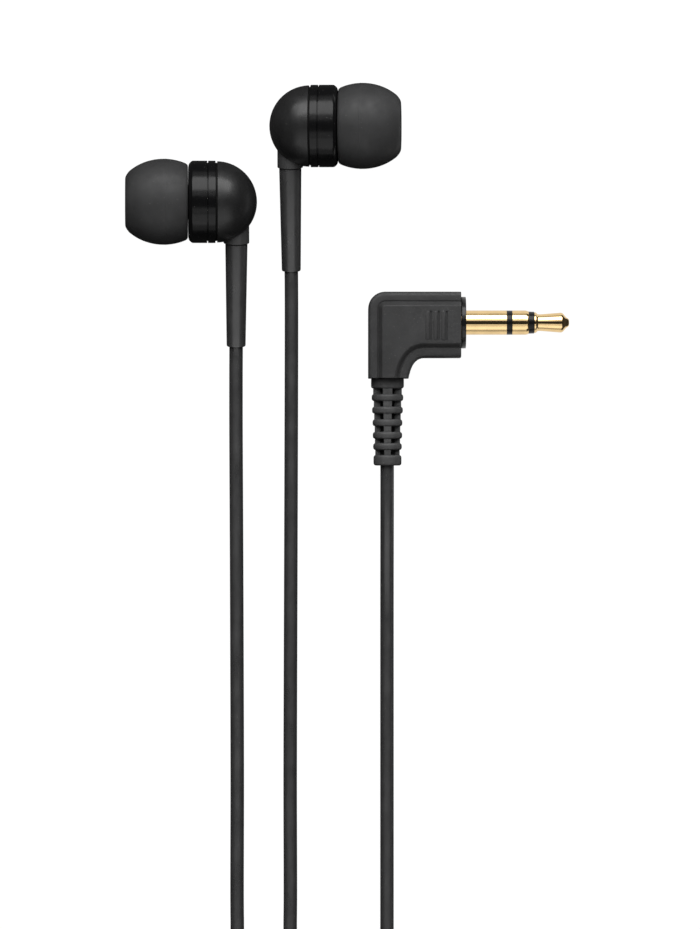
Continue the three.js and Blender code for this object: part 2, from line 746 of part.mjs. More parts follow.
// Off the coil's top turns, along the table and up to the plug's strain relief.
function upperMainCord() {
  const start = MAIN_COIL.y + coilMouth(MAIN_COIL, MAIN_CORD_X);
  const top = RELIEF_BOTTOM - MEETING_GAP;
  return cord("main_cord_upper", [
    [MAIN_CORD_X, start, TOP_STRAND],
    [MAIN_CORD_X, start + 3, TOP_STRAND - 0.2],
    [MAIN_CORD_X, start + 6, TOP_STRAND - 0.8],
    [MAIN_CORD_X, start + 9, REST + 0.5],
    [MAIN_CORD_X, start + 12, REST + 0.12],
    [MAIN_CORD_X, start + 15, REST + 0.02],
    [MAIN_CORD_X, -90, REST],
    [MAIN_CORD_X, -70, REST],
    [MAIN_CORD_X, top - 24, REST + 0.01],
    [MAIN_CORD_X, top - 21, REST + 0.06],
    [MAIN_CORD_X, top - 18, REST + 0.28],
    [MAIN_CORD_X, top - 15, REST + 0.76],
    [MAIN_CORD_X, top - 12, REST + 1.39],
    [MAIN_CORD_X, top - 9, REST + 2.05],
    [MAIN_CORD_X, top - 6, REST + 2.55],
    [MAIN_CORD_X, top - 3, PLUG_AXIS_Z - 0.04],
    [MAIN_CORD_X, top, PLUG_AXIS_Z],
  ]);
}

const earphones = new THREE.Group();
earphones.add(
  earphone("left", -1, LEFT_Y),
  earphone("right", 1, RIGHT_Y),
  plug(),
  upperEarCord("left_cord_upper", -1, LEFT_Y, -STRAND_PITCH / 2),
  upperEarCord("right_cord_upper", 1, RIGHT_Y, STRAND_PITCH / 2),
  lowerEarCord("left_cord_lower", STRAND_PITCH / 2),
  lowerEarCord("right_cord_lower", -STRAND_PITCH / 2),
  splitter(),
  lowerMainCord(),
  upperMainCord(),
  coil("ear_cord_coil", EAR_COIL),
  coil("main_cord_coil", MAIN_COIL),
);

export default earphones;
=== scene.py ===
import math

import bmesh
import bpy
from mathutils import Matrix, Vector


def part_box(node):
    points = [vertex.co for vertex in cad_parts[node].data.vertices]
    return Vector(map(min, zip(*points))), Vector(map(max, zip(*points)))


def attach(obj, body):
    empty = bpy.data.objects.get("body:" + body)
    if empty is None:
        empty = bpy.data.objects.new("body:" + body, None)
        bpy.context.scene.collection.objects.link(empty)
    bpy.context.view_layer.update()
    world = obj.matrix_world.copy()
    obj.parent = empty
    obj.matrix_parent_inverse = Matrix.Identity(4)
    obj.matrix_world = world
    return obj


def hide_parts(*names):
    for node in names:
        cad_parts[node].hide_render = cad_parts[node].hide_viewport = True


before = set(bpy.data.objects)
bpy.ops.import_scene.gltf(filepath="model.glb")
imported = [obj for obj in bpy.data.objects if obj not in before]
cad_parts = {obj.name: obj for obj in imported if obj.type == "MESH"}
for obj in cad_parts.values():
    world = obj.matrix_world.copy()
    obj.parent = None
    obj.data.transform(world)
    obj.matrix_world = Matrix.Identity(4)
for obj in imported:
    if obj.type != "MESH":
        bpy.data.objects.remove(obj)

# Wired in-ear earphones lying on a table, seen from straight above.
# Lengths are in mm; TO_METRES and MM turn them into Blender's metres.
# The table is at z = 0, and the earphones' nozzles lie along X.

MM = 0.001
TO_METRES = Matrix.Scale(MM, 4)
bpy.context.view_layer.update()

# ---- Fineness ----
SHELL_SIDES = 128
SMALL_SIDES = 64
FILLET_STEPS = 5
SHARP_ANGLE = math.radians(40)
CORD_SAMPLE = 0.7
CORD_BEVEL = 5

# ---- Earphone: x runs along the nozzle from the seam between the shells ----
BAND_RADIUS = 5.87
DOME_RADIUS = 5.8
CAVITY_RADIUS = 4.85
LIP_RADIUS = 5.58
SEAM_HALF_GAP = 0.13
TRIM_RING_FRONT = 1.17
TRIM_RING_MIDDLE = 0.665
FRONT_SHELL_BACK = 1.31
FRONT_SHELL_FRONT = 4.02
FRONT_WALL_BACK = 3.06
NOZZLE_RADIUS = 2.35
NOZZLE_BORE = 1.75
NOZZLE_LIP = 2.72
NOZZLE_FRONT = 8.5
MESH_X = 8.0
MESH_RADIUS = 1.7
MESH_PITCH = 0.21
MESH_WIRE = 0.045

TIP_RADIUS = 6.13
TIP_WIDEST = 7.5
TIP_HALF_LENGTH = 7.02
TIP_BACK = 4.06
TIP_FRONT = 13.0
TIP_SOUND_BORE = 1.9
TIP_SLEEVE_BORE = 2.8
TIP_SLEEVE_RADIUS = 3.7
TIP_SLEEVE_END = 8.8
TIP_SKIN = 0.6
TIP_MOULD_LINE = 7.2

# ---- Stem: depths are measured from the nozzle's axis ----
STEM_X = -2.88
NECK_RADIUS = 1.84
NECK_END = 5.97
BOOT_SHOULDER = 6.05
BOOT_END = 20.95
BOOT_TOP_RADIUS = 1.59
BOOT_END_RADIUS = 1.36
CORD_BORE = 1.04

# ---- How each earphone lies ----
LEAN = math.radians(2.03)
ROLL = math.radians(12.3)

# ---- Cord ----
CORD_RADIUS = 0.975
STRAND_PITCH = 1.98
MEETING_GAP = 0.3
REST = CORD_RADIUS + 0.02
TOP_STRAND = REST + STRAND_PITCH
EAR_CORD_X = 3.8
MAIN_CORD_X = 17.7


def in_mm(point):
    return [value / MM for value in point]


def add_object(name, data):
    made = bpy.data.objects.new(name, data)
    bpy.context.scene.collection.objects.link(made)
    return made


def box_mm(node):
    """The low and high corners of a CAD node's box, in mm."""
    return [in_mm(corner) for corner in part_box(node)]


def middle(node):
    low, high = box_mm(node)
    return (Vector(low) + Vector(high)) / 2


# ======== Placing ========

def earphone_pose(prefix, side):
    """From an earphone's own axes, in mm, to the world, in metres.

    side is 1 for the right earphone and -1 for the left one.
    """
    turn = Matrix.Rotation(-side * LEAN, 4, "Y") @ Matrix.Rotation(ROLL, 4, "X")
    facing = Matrix.Rotation(math.pi, 4, "Y") if side < 0 else Matrix.Identity(4)
    ring_middle = Vector((TRIM_RING_MIDDLE, 0, 0))
    place = middle(prefix + "_trim_ring") - (turn @ facing) @ ring_middle
    return TO_METRES @ Matrix.Translation(place) @ turn @ facing


STEM = Matrix.Translation((STEM_X, 0, 0)) @ Matrix.Rotation(-math.pi / 2, 4, "Z")
POSES = {"left": earphone_pose("left", -1), "right": earphone_pose("right", 1)}


def on_stem(prefix, depth):
    """The point, in mm, at a depth down an earphone's stem."""
    return Vector(in_mm(POSES[prefix] @ STEM @ Vector((depth, 0, 0))))


# ======== Cords ========

def smooth_path(points, spacing):
    """A centripetal Catmull-Rom curve through the points, sampled about every spacing."""
    knots = [Vector(point) for point in points]
    knots = [2 * knots[0] - knots[1]] + knots + [2 * knots[-1] - knots[-2]]
    path = []
    for a, b, c, d in zip(knots, knots[1:], knots[2:], knots[3:]):
        before = (b - a).length ** 0.5
        span = (c - b).length ** 0.5
        after = (d - c).length ** 0.5
        leaving = ((b - a) / before - (c - a) / (before + span) + (c - b) / span) * span
        arriving = ((c - b) / span - (d - b) / (span + after) + (d - c) / after) * span
        steps = max(2, round((c - b).length / spacing))
        for step in range(steps):
            t = step / steps
            curve = (2 * t**3 - 3 * t**2 + 1) * b + (t**3 - 2 * t**2 + t) * leaving
            curve += (3 * t**2 - 2 * t**3) * c + (t**3 - t**2) * arriving
            path.append(curve)
    path.append(knots[-2])
    return path


def ease(value):
    """0 before 0, 1 after 1 and a smooth rise between."""
    clamped = min(1.0, max(0.0, value))
    return clamped * clamped * (3 - 2 * clamped)


# ---- Coils: each goes in on the table and comes out on top; a climb is a part of a turn ----
TURN_POINTS = 24
EAR_TURNS = 2
EAR_CLIMB = 1 / 6
MAIN_TURNS = 5
MAIN_CLIMB = 1 / 3
MAIN_CLIMB_LEAD = 1 / 12
EAR_COIL = middle("ear_cord_coil")
MAIN_COIL = middle("main_cord_coil")
EAR_COIL_REACH = box_mm("ear_cord_coil")[1][0] - EAR_COIL.x
MAIN_COIL_REACH = box_mm("main_cord_coil")[1][0] - MAIN_COIL.x
SPLITTER_TOP = box_mm("cord_splitter")[1][1]
SPLITTER_BOTTOM = box_mm("cord_splitter")[0][1]
SPLITTER_Z = middle("cord_splitter").z


def coil_mouth(coil, reach, x):
    """How far from the line through a coil's middle a cord at x meets the coil's solid."""
    near_side = abs(x - coil.x) - CORD_RADIUS
    return math.sqrt(reach**2 - near_side**2) + MEETING_GAP


def ear_coil_turns(lane):
    """The turns in on the table, then the turns out on top, of one cord of the pair.

    lane is 0 for the left cord and 1 for the right one. The pair swaps places as it climbs, so the cord that
    came in outside goes out inside.
    """
    outermost = -EAR_COIL.x - STRAND_PITCH / 2
    innermost = outermost - 2 * EAR_TURNS * STRAND_PITCH
    lane_in = lane * STRAND_PITCH
    lane_out = (1 - lane) * STRAND_PITCH
    climb_start = EAR_TURNS - 2 * EAR_CLIMB if lane == 0 else EAR_TURNS
    points = []
    for step in range(1, 2 * EAR_TURNS * TURN_POINTS):
        turn = step / TURN_POINTS
        if turn < EAR_TURNS:
            swapped = ease((turn - EAR_TURNS + EAR_CLIMB) / EAR_CLIMB)
            radius = outermost - 2 * STRAND_PITCH * turn + lane_in + swapped * (lane_out - lane_in)
        else:
            radius = innermost + 2 * STRAND_PITCH * (turn - EAR_TURNS) + lane_out
        height = REST + STRAND_PITCH * ease((turn - climb_start) / EAR_CLIMB)
        angle = 2 * math.pi * turn
        x = EAR_COIL.x + radius * math.cos(angle)
        points.append((x, EAR_COIL.y - radius * math.sin(angle), height))
    return points


def main_coil_turns():
    """The turns in on the table, then as many turns out on top of them."""
    outermost = MAIN_COIL.x - MAIN_CORD_X
    points = []
    for step in range(1, 2 * MAIN_TURNS * TURN_POINTS):
        turn = step / TURN_POINTS
        radius = outermost - STRAND_PITCH * min(turn, 2 * MAIN_TURNS - turn)
        height = REST + STRAND_PITCH * ease((turn - MAIN_TURNS + MAIN_CLIMB_LEAD) / MAIN_CLIMB)
        angle = 2 * math.pi * turn
        x = MAIN_COIL.x - radius * math.cos(angle)
        points.append((x, MAIN_COIL.y + radius * math.sin(angle), height))
    return points


def ear_cord_route(prefix, side):
    """From inside the boot down the table, through the coil and into the splitter."""
    start = on_stem(prefix, BOOT_END + MEETING_GAP)
    following = on_stem(prefix, BOOT_END + 1.6)
    level = on_stem(prefix, BOOT_END + 3)
    x = side * EAR_CORD_X
    coil_x = side * STRAND_PITCH / 2
    end_x = -coil_x
    mouth = coil_mouth(EAR_COIL, EAR_COIL_REACH, coil_x)
    leaving = EAR_COIL.y - coil_mouth(EAR_COIL, EAR_COIL_REACH, end_x)
    upper = [
        on_stem(prefix, BOOT_END - 2),
        start,
        (following.x, following.y, max(REST + 0.06, following.z)),
        (level.x, level.y - 1, REST),
        (level.x, level.y - 8, REST),
        ((level.x + x) / 2, -50, REST),
        (x, -80, REST),
        (x, -101, REST),
        (x + 0.04 * (coil_x - x), -104, REST),
        (x + 0.5 * (coil_x - x), -108, REST),
        (x + 0.96 * (coil_x - x), -112, REST),
        (coil_x, EAR_COIL.y + mouth, REST),
        (coil_x, EAR_COIL.y, REST),
    ]
    lower = [
        (end_x, EAR_COIL.y, TOP_STRAND),
        (end_x, leaving, TOP_STRAND),
        (end_x, leaving - 1.4, TOP_STRAND - 0.2),
        (end_x, SPLITTER_TOP + MEETING_GAP + 1, SPLITTER_Z + 0.05),
        (end_x, SPLITTER_TOP + MEETING_GAP, SPLITTER_Z),
        (end_x, SPLITTER_TOP - 2, SPLITTER_Z),
    ]
    return upper + ear_coil_turns(0 if side < 0 else 1) + lower


SPLITTER_TURN_STEPS = 8


def main_cord_route():
    """From inside the splitter round to the second coil, then up the table into the strain relief."""
    start = SPLITTER_BOTTOM - MEETING_GAP
    mouth = coil_mouth(MAIN_COIL, MAIN_COIL_REACH, MAIN_CORD_X)
    turn_radius = MAIN_CORD_X / 2
    turn_y = start - 7
    lower = [
        (0, SPLITTER_BOTTOM + 2, SPLITTER_Z),
        (0, start, SPLITTER_Z),
        (0, start - 1.5, SPLITTER_Z - 0.1),
        (0, start - 3.5, REST + 0.6),
        (0, start - 5.3, REST + 0.12),
    ]
    for step in range(SPLITTER_TURN_STEPS + 1):
        angle = math.pi * (1 + step / SPLITTER_TURN_STEPS)
        x = turn_radius + turn_radius * math.cos(angle)
        lower.append((x, turn_y + turn_radius * math.sin(angle), REST))
    lower += [(MAIN_CORD_X, y, REST) for y in (-150, MAIN_COIL.y - mouth, MAIN_COIL.y)]
    leaving = MAIN_COIL.y + mouth
    plug_z = middle("plug_strain_relief").z
    top = box_mm("plug_strain_relief")[0][1] - MEETING_GAP
    upper = [
        (MAIN_COIL.y, TOP_STRAND),
        (leaving, TOP_STRAND),
        (leaving + 3, TOP_STRAND - 0.2),
        (leaving + 6, TOP_STRAND - 0.8),
        (leaving + 9, REST + 0.5),
        (leaving + 12, REST + 0.12),
        (leaving + 15, REST + 0.02),
        (-90, REST),
        (-70, REST),
        (top - 24, REST + 0.01),
        (top - 21, REST + 0.06),
        (top - 18, REST + 0.28),
        (top - 15, REST + 0.76),
        (top - 12, REST + 1.39),
        (top - 9, REST + 2.05),
        (top - 6, REST + 2.55),
        (top - 3, plug_z - 0.04),
        (top, plug_z),
        (top + 2.5, plug_z),
    ]
    return lower + main_coil_turns() + [(MAIN_CORD_X, y, z) for y, z in upper]


def cord(name, route):
    """A round cord as one open spline along its smoothed route, and its length in metres."""
    path = smooth_path(route, CORD_SAMPLE)
    data = bpy.data.curves.new(name, "CURVE")
    data.dimensions = "3D"
    spline = data.splines.new("POLY")
    spline.points.add(len(path) - 1)
    for point, place in zip(spline.points, path):
        point.co = (*(place * MM), 1)
    spline.use_smooth = True
    data.bevel_depth = CORD_RADIUS * MM
    data.bevel_resolution = CORD_BEVEL
    data.use_fill_caps = True
    data.materials.append(MATERIALS["cord_jacket"])
    piece = add_object(name, data)
    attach(piece, "earphones")
    length = sum((b - a).length for a, b in zip(path, path[1:])) * MM
    return piece, length


# ======== Camera ========

VIEW_HEIGHT = 132.7
VIEW_CENTRE = (12.39, -35.57)
VIEW_FOCUS_Z = 5.0
LENS = 200.0
SENSOR = 36.0
CLIP = (0.01, 20)


def add_camera():
    data = bpy.data.cameras.new("camera")
    data.lens = LENS
    data.sensor_width = SENSOR
    data.clip_start, data.clip_end = CLIP
    camera = add_object("camera", data)
    height = VIEW_FOCUS_Z + VIEW_HEIGHT * LENS / SENSOR
    camera.location = Vector((*VIEW_CENTRE, height)) * MM
    bpy.context.scene.camera = camera


# ======== Materials ========

def shader_of(name):
    """A new material, its node tree and its Principled shader."""
    material = bpy.data.materials.new(name)
    material.use_nodes = True
    tree = material.node_tree
    return material, tree, tree.nodes["Principled BSDF"]


def add_node(tree, kind, inputs=None, **settings):
    """A shader node. Each input is linked to a socket or set to a plain value."""
    node = tree.nodes.new("ShaderNode" + kind)
    for setting, value in settings.items():
        setattr(node, setting, value)
    for key, value in (inputs or {}).items():
        if isinstance(value, bpy.types.NodeSocket):
            tree.links.new(value, node.inputs[key])
        else:
            node.inputs[key].default_value = value
    return node


def noise(tree, size, stretch=(1, 1, 1), detail=2.0):
    """The value of a noise whose lumps are about size mm across, stretched along the axes."""
    coordinates = add_node(tree, "TexCoord").outputs["Object"]
    stretched = add_node(tree, "Mapping", {"Vector": coordinates, "Scale": stretch}).outputs["Vector"]
    inputs = {"Vector": stretched, "Scale": 1 / (size * MM), "Detail": detail}
    return add_node(tree, "TexNoise", inputs).outputs["Fac"]


def remap(tree, value, from_low, from_high, to_low, to_high):
    inputs = {"From Min": from_low, "From Max": from_high, "To Min": to_low, "To Max": to_high}
    return add_node(tree, "MapRange", {"Value": value, **inputs}).outputs["Result"]


def combine(tree, operation, *values):
    """The result of a Math node on one or two sockets."""
    return add_node(tree, "Math", dict(enumerate(values)), operation=operation).outputs["Value"]


def blend_colours(tree, factor, first, second):
    """Mixes two colours, each a socket or a plain tuple."""
    first, second = ((*colour, 1) if isinstance(colour, tuple) else colour for colour in (first, second))
    return add_node(tree, "Mix", {0: factor, 6: first, 7: second}, data_type="RGBA").outputs[2]


def bump(tree, shader, height, depth):
    """Gives the shader's normal a height, depth mm deep."""
    node = add_node(tree, "Bump", {"Height": height, "Strength": 1.0, "Distance": depth * MM})
    tree.links.new(node.outputs["Normal"], shader.inputs["Normal"])


def scaled(colour, factor):
    return tuple(min(1.0, channel * factor) for channel in colour)


# ---- Marks on moulded surfaces: their sizes in mm, and how strong they are ----
CLOUD_SIZE = 2.2
WEAR_SIZE = 0.35
SPECK_SIZE = 0.16
SMEAR_SIZE = 1.4
SMEAR_STRETCH = (1, 0.45, 1)
GLOSS_SPREAD = 0.25
WORN_PALER = 2.2
DUST_COLOUR = (0.35, 0.34, 0.32)

# ---- Marks on metal ----
TARNISH_SIZE = 1.1
TARNISH_DARKER = 0.86
HANDLING_SIZE = 0.5
HANDLING_STRETCH = (0.2, 1, 1)
LINE_DISTORTION = 1.5


def moulded(
    name, colour, roughness, grain=0.12, grain_depth=0.004, mottle=0.12, dust=0.0, wear=0.3, shine=0.5
):
    """Plastic or rubber, with a grain, cloudy colour, uneven gloss, dust and paler worn edges."""
    material, tree, shader = shader_of(name)
    clouds = remap(tree, noise(tree, CLOUD_SIZE, detail=4), 0.3, 0.7, 0, 1)
    colours = blend_colours(tree, clouds, scaled(colour, 1 - mottle), scaled(colour, 1 + mottle))
    if wear > 0:
        edge = add_node(tree, "Attribute", attribute_name="edge")
        broken = remap(tree, noise(tree, WEAR_SIZE, detail=3), 0.42, 0.68, 0, wear)
        worn = combine(tree, "MULTIPLY", edge.outputs["Fac"], broken)
        colours = blend_colours(tree, worn, colours, scaled(colour, WORN_PALER))
    if dust > 0:
        specks = remap(tree, noise(tree, SPECK_SIZE, detail=1), 0.74, 0.8, 0, dust)
        colours = blend_colours(tree, specks, colours, DUST_COLOUR)
    tree.links.new(colours, shader.inputs["Base Color"])
    smears = noise(tree, SMEAR_SIZE, stretch=SMEAR_STRETCH, detail=5)
    spread = GLOSS_SPREAD * roughness
    gloss = remap(tree, smears, 0.3, 0.7, roughness - spread, roughness + spread)
    tree.links.new(gloss, shader.inputs["Roughness"])
    bump(tree, shader, noise(tree, grain, detail=3), grain_depth)
    shader.inputs["Specular IOR Level"].default_value = shine
    return material


def turned_metal(name, colour, roughness, pitch=0.05, depth=0.0004):
    """Plated or bare metal with fine turning lines across the X axis and faint handling marks."""
    material, tree, shader = shader_of(name)
    shader.inputs["Metallic"].default_value = 1.0
    tarnish = remap(tree, noise(tree, TARNISH_SIZE, detail=4), 0.35, 0.7, 0, 1)
    colours = blend_colours(tree, tarnish, colour, scaled(colour, TARNISH_DARKER))
    tree.links.new(colours, shader.inputs["Base Color"])
    marks = noise(tree, HANDLING_SIZE, stretch=HANDLING_STRETCH, detail=6)
    gloss = remap(tree, marks, 0.3, 0.75, 0.8 * roughness, 1.35 * roughness)
    tree.links.new(gloss, shader.inputs["Roughness"])
    coordinates = add_node(tree, "TexCoord").outputs["Object"]
    inputs = {"Vector": coordinates, "Scale": 1 / (pitch * MM) / 3, "Distortion": LINE_DISTORTION}
    lines = add_node(tree, "TexWave", inputs, bands_direction="X")
    bump(tree, shader, lines.outputs["Fac"], depth)
    return material


# Each look is a colour, a roughness and what differs from the usual grain, dust, wear and shine.
MOULDED_LOOKS = {
    "matte_shell": ((0.011, 0.011, 0.0112), 0.33, dict(grain=0.1, grain_depth=0.0025, dust=0.25, shine=0.4)),
    "gloss_shell": (
        (0.003, 0.003, 0.0032), 0.2, dict(grain=0.6, grain_depth=0.0012, dust=0.2, wear=0.15, shine=0.25)
    ),
    "silicone": (
        (0.024, 0.024, 0.0244), 0.56, dict(grain=0.09, grain_depth=0.005, mottle=0.08, dust=0.2, shine=0.3)
    ),
    "soft_sleeve": ((0.026, 0.026, 0.0263), 0.32, dict(grain=0.1, grain_depth=0.003, dust=0.3, shine=1.0)),
    "cord_jacket": (
        (0.024, 0.024, 0.0243), 0.34, dict(grain=0.35, grain_depth=0.004, dust=0.3, wear=0, shine=0.9)
    ),
    "plug_mould": ((0.026, 0.026, 0.0264), 0.55, dict(grain=0.09, grain_depth=0.006, dust=0.3, shine=0.3)),
    "plug_sleeve_rubber": (
        (0.042, 0.042, 0.0424), 0.5, dict(grain=0.1, grain_depth=0.006, dust=0.3, shine=0.3)
    ),
    # Near-black painted shade, put on the tongue in the earphone's seam and on the core between the relief's
    # rings.
    "painted_shade_black": ((0.003, 0.003, 0.003), 0.6, dict(wear=0, shine=0.1)),
    # A paler copy of the matte shell's colour, for the neck: painted light.
    "neck_painted_light": ((0.036, 0.036, 0.0364), 0.45, dict(grain_depth=0.003, dust=0.2, shine=0.4)),
    "plug_collar": ((0.006, 0.006, 0.0062), 0.18, dict(grain=0.5, grain_depth=0.001, shine=0.35)),
    "inner_plastic": ((0.68, 0.65, 0.56), 0.45, dict(grain=0.15, mottle=0.05)),
    "insulator": ((0.004, 0.004, 0.004), 0.2, dict(grain=0.3, grain_depth=0.001, wear=0.1, shine=0.25)),
    "film": ((0.55, 0.5, 0.3), 0.22, dict(grain=0.4, grain_depth=0.002, mottle=0.06, wear=0)),
    "felt": ((0.75, 0.75, 0.72), 0.95, dict(grain=0.06, grain_depth=0.03, mottle=0.15, wear=0)),
    "board": ((0.012, 0.14, 0.045), 0.3, dict(grain=0.25, grain_depth=0.004, shine=0.7)),
}
# Each look is a colour, a roughness and what differs from the usual turning lines.
METAL_LOOKS = {
    "gold": ((1.0, 0.72, 0.36), 0.07, {}),
    "steel": ((0.55, 0.55, 0.56), 0.3, {}),
    "mesh_steel": ((0.4, 0.4, 0.41), 0.35, dict(pitch=0.02)),
    "magnet": ((0.42, 0.42, 0.44), 0.25, {}),
    "copper": ((0.8, 0.34, 0.16), 0.3, dict(pitch=0.08, depth=0.004)),
}
MATERIALS = {}
for look, (colour, roughness, details) in MOULDED_LOOKS.items():
    MATERIALS[look] = moulded(look, colour, roughness, **details)
for look, (colour, roughness, details) in METAL_LOOKS.items():
    MATERIALS[look] = turned_metal(look, colour, roughness, **details)

INNER_PARTS = {
    "driver_frame": "inner_plastic",
    "driver_yoke": "steel",
    "driver_magnet": "magnet",
    "driver_top_plate": "steel",
    "voice_coil": "copper",
    "diaphragm": "film",
    "driver_grille": "steel",
    "damping_disc": "felt",
    "terminal_board": "board",
    "cord_knot": "cord_jacket",
}


def finish_cad_node(node, slot):
    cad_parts[node].material_slots[0].material = MATERIALS[slot]


# ======== Mesh tools ========

# The part of an edge that the fillet at one of its ends may take.
FILLET_REACH = 0.49


def rounded(outline, closed=False):
    """Rounds the corners of an outline of (a, b) or (a, b, size) points, each by its own size."""
    points = []
    for i, corner in enumerate(outline):
        here = Vector(corner[:2])
        at_end = not closed and i in (0, len(outline) - 1)
        if len(corner) < 3 or at_end:
            points.append(here)
            continue
        before = Vector(outline[i - 1][:2]) - here
        after = Vector(outline[(i + 1) % len(outline)][:2]) - here
        start = here + before.normalized() * min(corner[2], FILLET_REACH * before.length)
        end = here + after.normalized() * min(corner[2], FILLET_REACH * after.length)
        for step in range(FILLET_STEPS + 1):
            t = step / FILLET_STEPS
            points.append(start * (1 - t) ** 2 + here * (2 * t * (1 - t)) + end * t**2)
    return points


# A ring smaller than this is a single point on the axis.
POLE_RADIUS = 1e-6


def skin_rings(mesh, rings, closed=False):
    """Faces between rings of vertices; a ring of one vertex is a pole."""
    pairs = list(zip(rings, rings[1:]))
    if closed:
        pairs.append((rings[-1], rings[0]))
    for back, front in pairs:
        sides = max(len(back), len(front))
        for i in range(sides):
            j = (i + 1) % sides
            corners = [back[i % len(back)], back[j % len(back)]]
            corners += [front[j % len(front)], front[i % len(front)]]
            corners = list(dict.fromkeys(corners))
            if len(corners) > 2:
                mesh.faces.new(corners)


def lathe(mesh, outline, sides, closed=False):
    """Turns an outline of (x, radius) points about the X axis."""
    rings = []
    for x, radius in outline:
        if radius < POLE_RADIUS:
            rings.append([mesh.verts.new((x, 0, 0))])
            continue
        ring = []
        for i in range(sides):
            angle = 2 * math.pi * i / sides
            ring.append(mesh.verts.new((x, radius * math.cos(angle), radius * math.sin(angle))))
        rings.append(ring)
    skin_rings(mesh, rings, closed)


def skin_solid(mesh, rings):
    """Faces between rings of vertices and over both ends."""
    skin_rings(mesh, rings)
    mesh.faces.new(rings[0])
    mesh.faces.new(rings[-1])


def mesh_data(name, mesh):
    """Turns a bmesh into mesh data, and frees it."""
    data = bpy.data.meshes.new(name)
    mesh.to_mesh(data)
    mesh.free()
    return data


# How sharply a surface turns before an edge starts to wear, and where it wears fully.
WEAR_START = math.radians(7)
WEAR_FULL = math.radians(24)


def shade_surface(data):
    """Smooths all but sharp edges, and stores how sharply the surface turns outwards, for worn edges."""
    data.shade_smooth()
    data.set_sharp_from_angle(angle=SHARP_ANGLE)
    mesh = bmesh.new()
    mesh.from_mesh(data)
    mesh.normal_update()
    marks = []
    for vertex in mesh.verts:
        turn = max((edge.calc_face_angle_signed(0) for edge in vertex.link_edges), default=0)
        marks.append(ease((turn - WEAR_START) / (WEAR_FULL - WEAR_START)))
    mesh.free()
    data.attributes.new("edge", "FLOAT", "POINT").data.foreach_set("value", marks)


def make_piece(name, mesh, pose, slot, nodes=(), body="earphones", material=None):
    """Turns a bmesh in mm into a finished piece that rides on a body and replaces CAD nodes.

    The material is the slot's own, unless another is named.
    """
    mesh.transform(pose)
    bmesh.ops.recalc_face_normals(mesh, faces=mesh.faces)
    data = mesh_data(name, mesh)
    shade_surface(data)
    data.materials.append(MATERIALS[material or slot])
    piece = add_object(name, data)
    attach(piece, body)
    if nodes:
        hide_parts(*nodes)
    return piece


def turned_piece(name, outline, pose, slot, nodes=(), sides=SHELL_SIDES, closed=False, **finish):
    """A piece turned about the X axis; finish is make_piece's body and material."""
    mesh = bmesh.new()
    lathe(mesh, outline, sides, closed)
    return make_piece(name, mesh, pose, slot, nodes, **finish)


def arc(radius, from_angle, to_angle, steps):
    """Points on a circle about the origin, with angles in degrees from the X axis."""
    points = []
    for step in range(steps + 1):
        angle = math.radians(from_angle + (to_angle - from_angle) * step / steps)
        points.append((radius * math.cos(angle), max(0.0, radius * math.sin(angle))))
    return points


# ======== Earphones ========

# ---- Shells: an arc is its first and last angle and its steps; a bevel is its back, front and drop ----
DOME_ARC = (180, 94, 40)
CAVITY_ARC = (92, 180, 24)
RIM_LAND = 0.2
RIM_DROP = 0.012
LIP_INSET = 0.1
CUT_FILLET = 0.05
BAND_FILLET = 0.08
PIECE_GAP = 0.02
FACE_BEVEL = (0.55, 0.12, 0.4)
FACE_DROP = 0.9
FACE_FILLET = 0.2
BARB_BACK = 1.0
BARB_RISE = 0.8
BARB_FRONT = 0.3
BARB_FILLET = 0.1
NECK_START = 2
NECK_TAPER = 0.03
NECK_FILLET = 0.16

# ---- Wire mesh ----
RIM_HALF_THICKNESS = 0.1
RIM_WIDTH = 0.14
WIRE_END = 0.07
WEAVE_DEPTH = 0.8

# ---- Tip ----
TIP_STEPS = 48
TIP_SKIN_STATIONS = (9.3, 8.6, 7.9, 7.0, 6.2, 5.4, 4.7)
TIP_FOLD = 0.3
TIP_FOLD_THICKNESS = (0.55, 0.1)
TIP_FOLD_FILLET = 0.25
MOULD_LINE_OFFSETS = (-0.08, -0.04, 0, 0.04, 0.08)
MOULD_LINE_HEIGHT = 0.02
MOULD_LINE_WIDTH = 0.05

# ---- Boot ----
BOOT_ROOT = 4.3
BOOT_ROOT_RADIUS = 1.3


def rear_housing(prefix, pose):
    """The domed shell, a tongue in its seam painted near-black as painted shade, and the neck that holds the
    boot, painted paler than the shell as painted light.
    """
    nodes = [prefix + "_rear_shell"]
    rim = [
        (-SEAM_HALF_GAP - RIM_LAND, DOME_RADIUS - RIM_DROP),
        (-SEAM_HALF_GAP, DOME_RADIUS, CUT_FILLET),
        (-SEAM_HALF_GAP, CAVITY_RADIUS + CUT_FILLET),
    ]
    outline = arc(DOME_RADIUS, *DOME_ARC) + rounded(rim) + arc(CAVITY_RADIUS, *CAVITY_ARC)
    turned_piece(prefix + "_rear_housing", outline, pose, "matte_shell", nodes)

    # The tongue in the seam is painted near-black: painted shade deep in the seam.
    lip_bore = CAVITY_RADIUS + LIP_INSET
    lip_back = -SEAM_HALF_GAP - CUT_FILLET
    lip_front = SEAM_HALF_GAP - PIECE_GAP
    lip = [(lip_back, lip_bore), (lip_back, LIP_RADIUS), (lip_front, LIP_RADIUS), (lip_front, lip_bore)]
    finish = {"closed": True, "material": "painted_shade_black"}
    turned_piece(prefix + "_painted_seam_shade", lip, pose, "matte_shell", nodes, **finish)

    neck = [
        (NECK_START, 0),
        (NECK_START, NECK_RADIUS - NECK_TAPER),
        (NECK_END, NECK_RADIUS, NECK_FILLET),
        (NECK_END, 0),
    ]
    # The neck is a paler copy of the shell's colour: painted light on the neck.
    finish = {"sides": SMALL_SIDES, "material": "neck_painted_light"}
    turned_piece(prefix + "_neck", rounded(neck), pose @ STEM, "matte_shell", nodes, **finish)


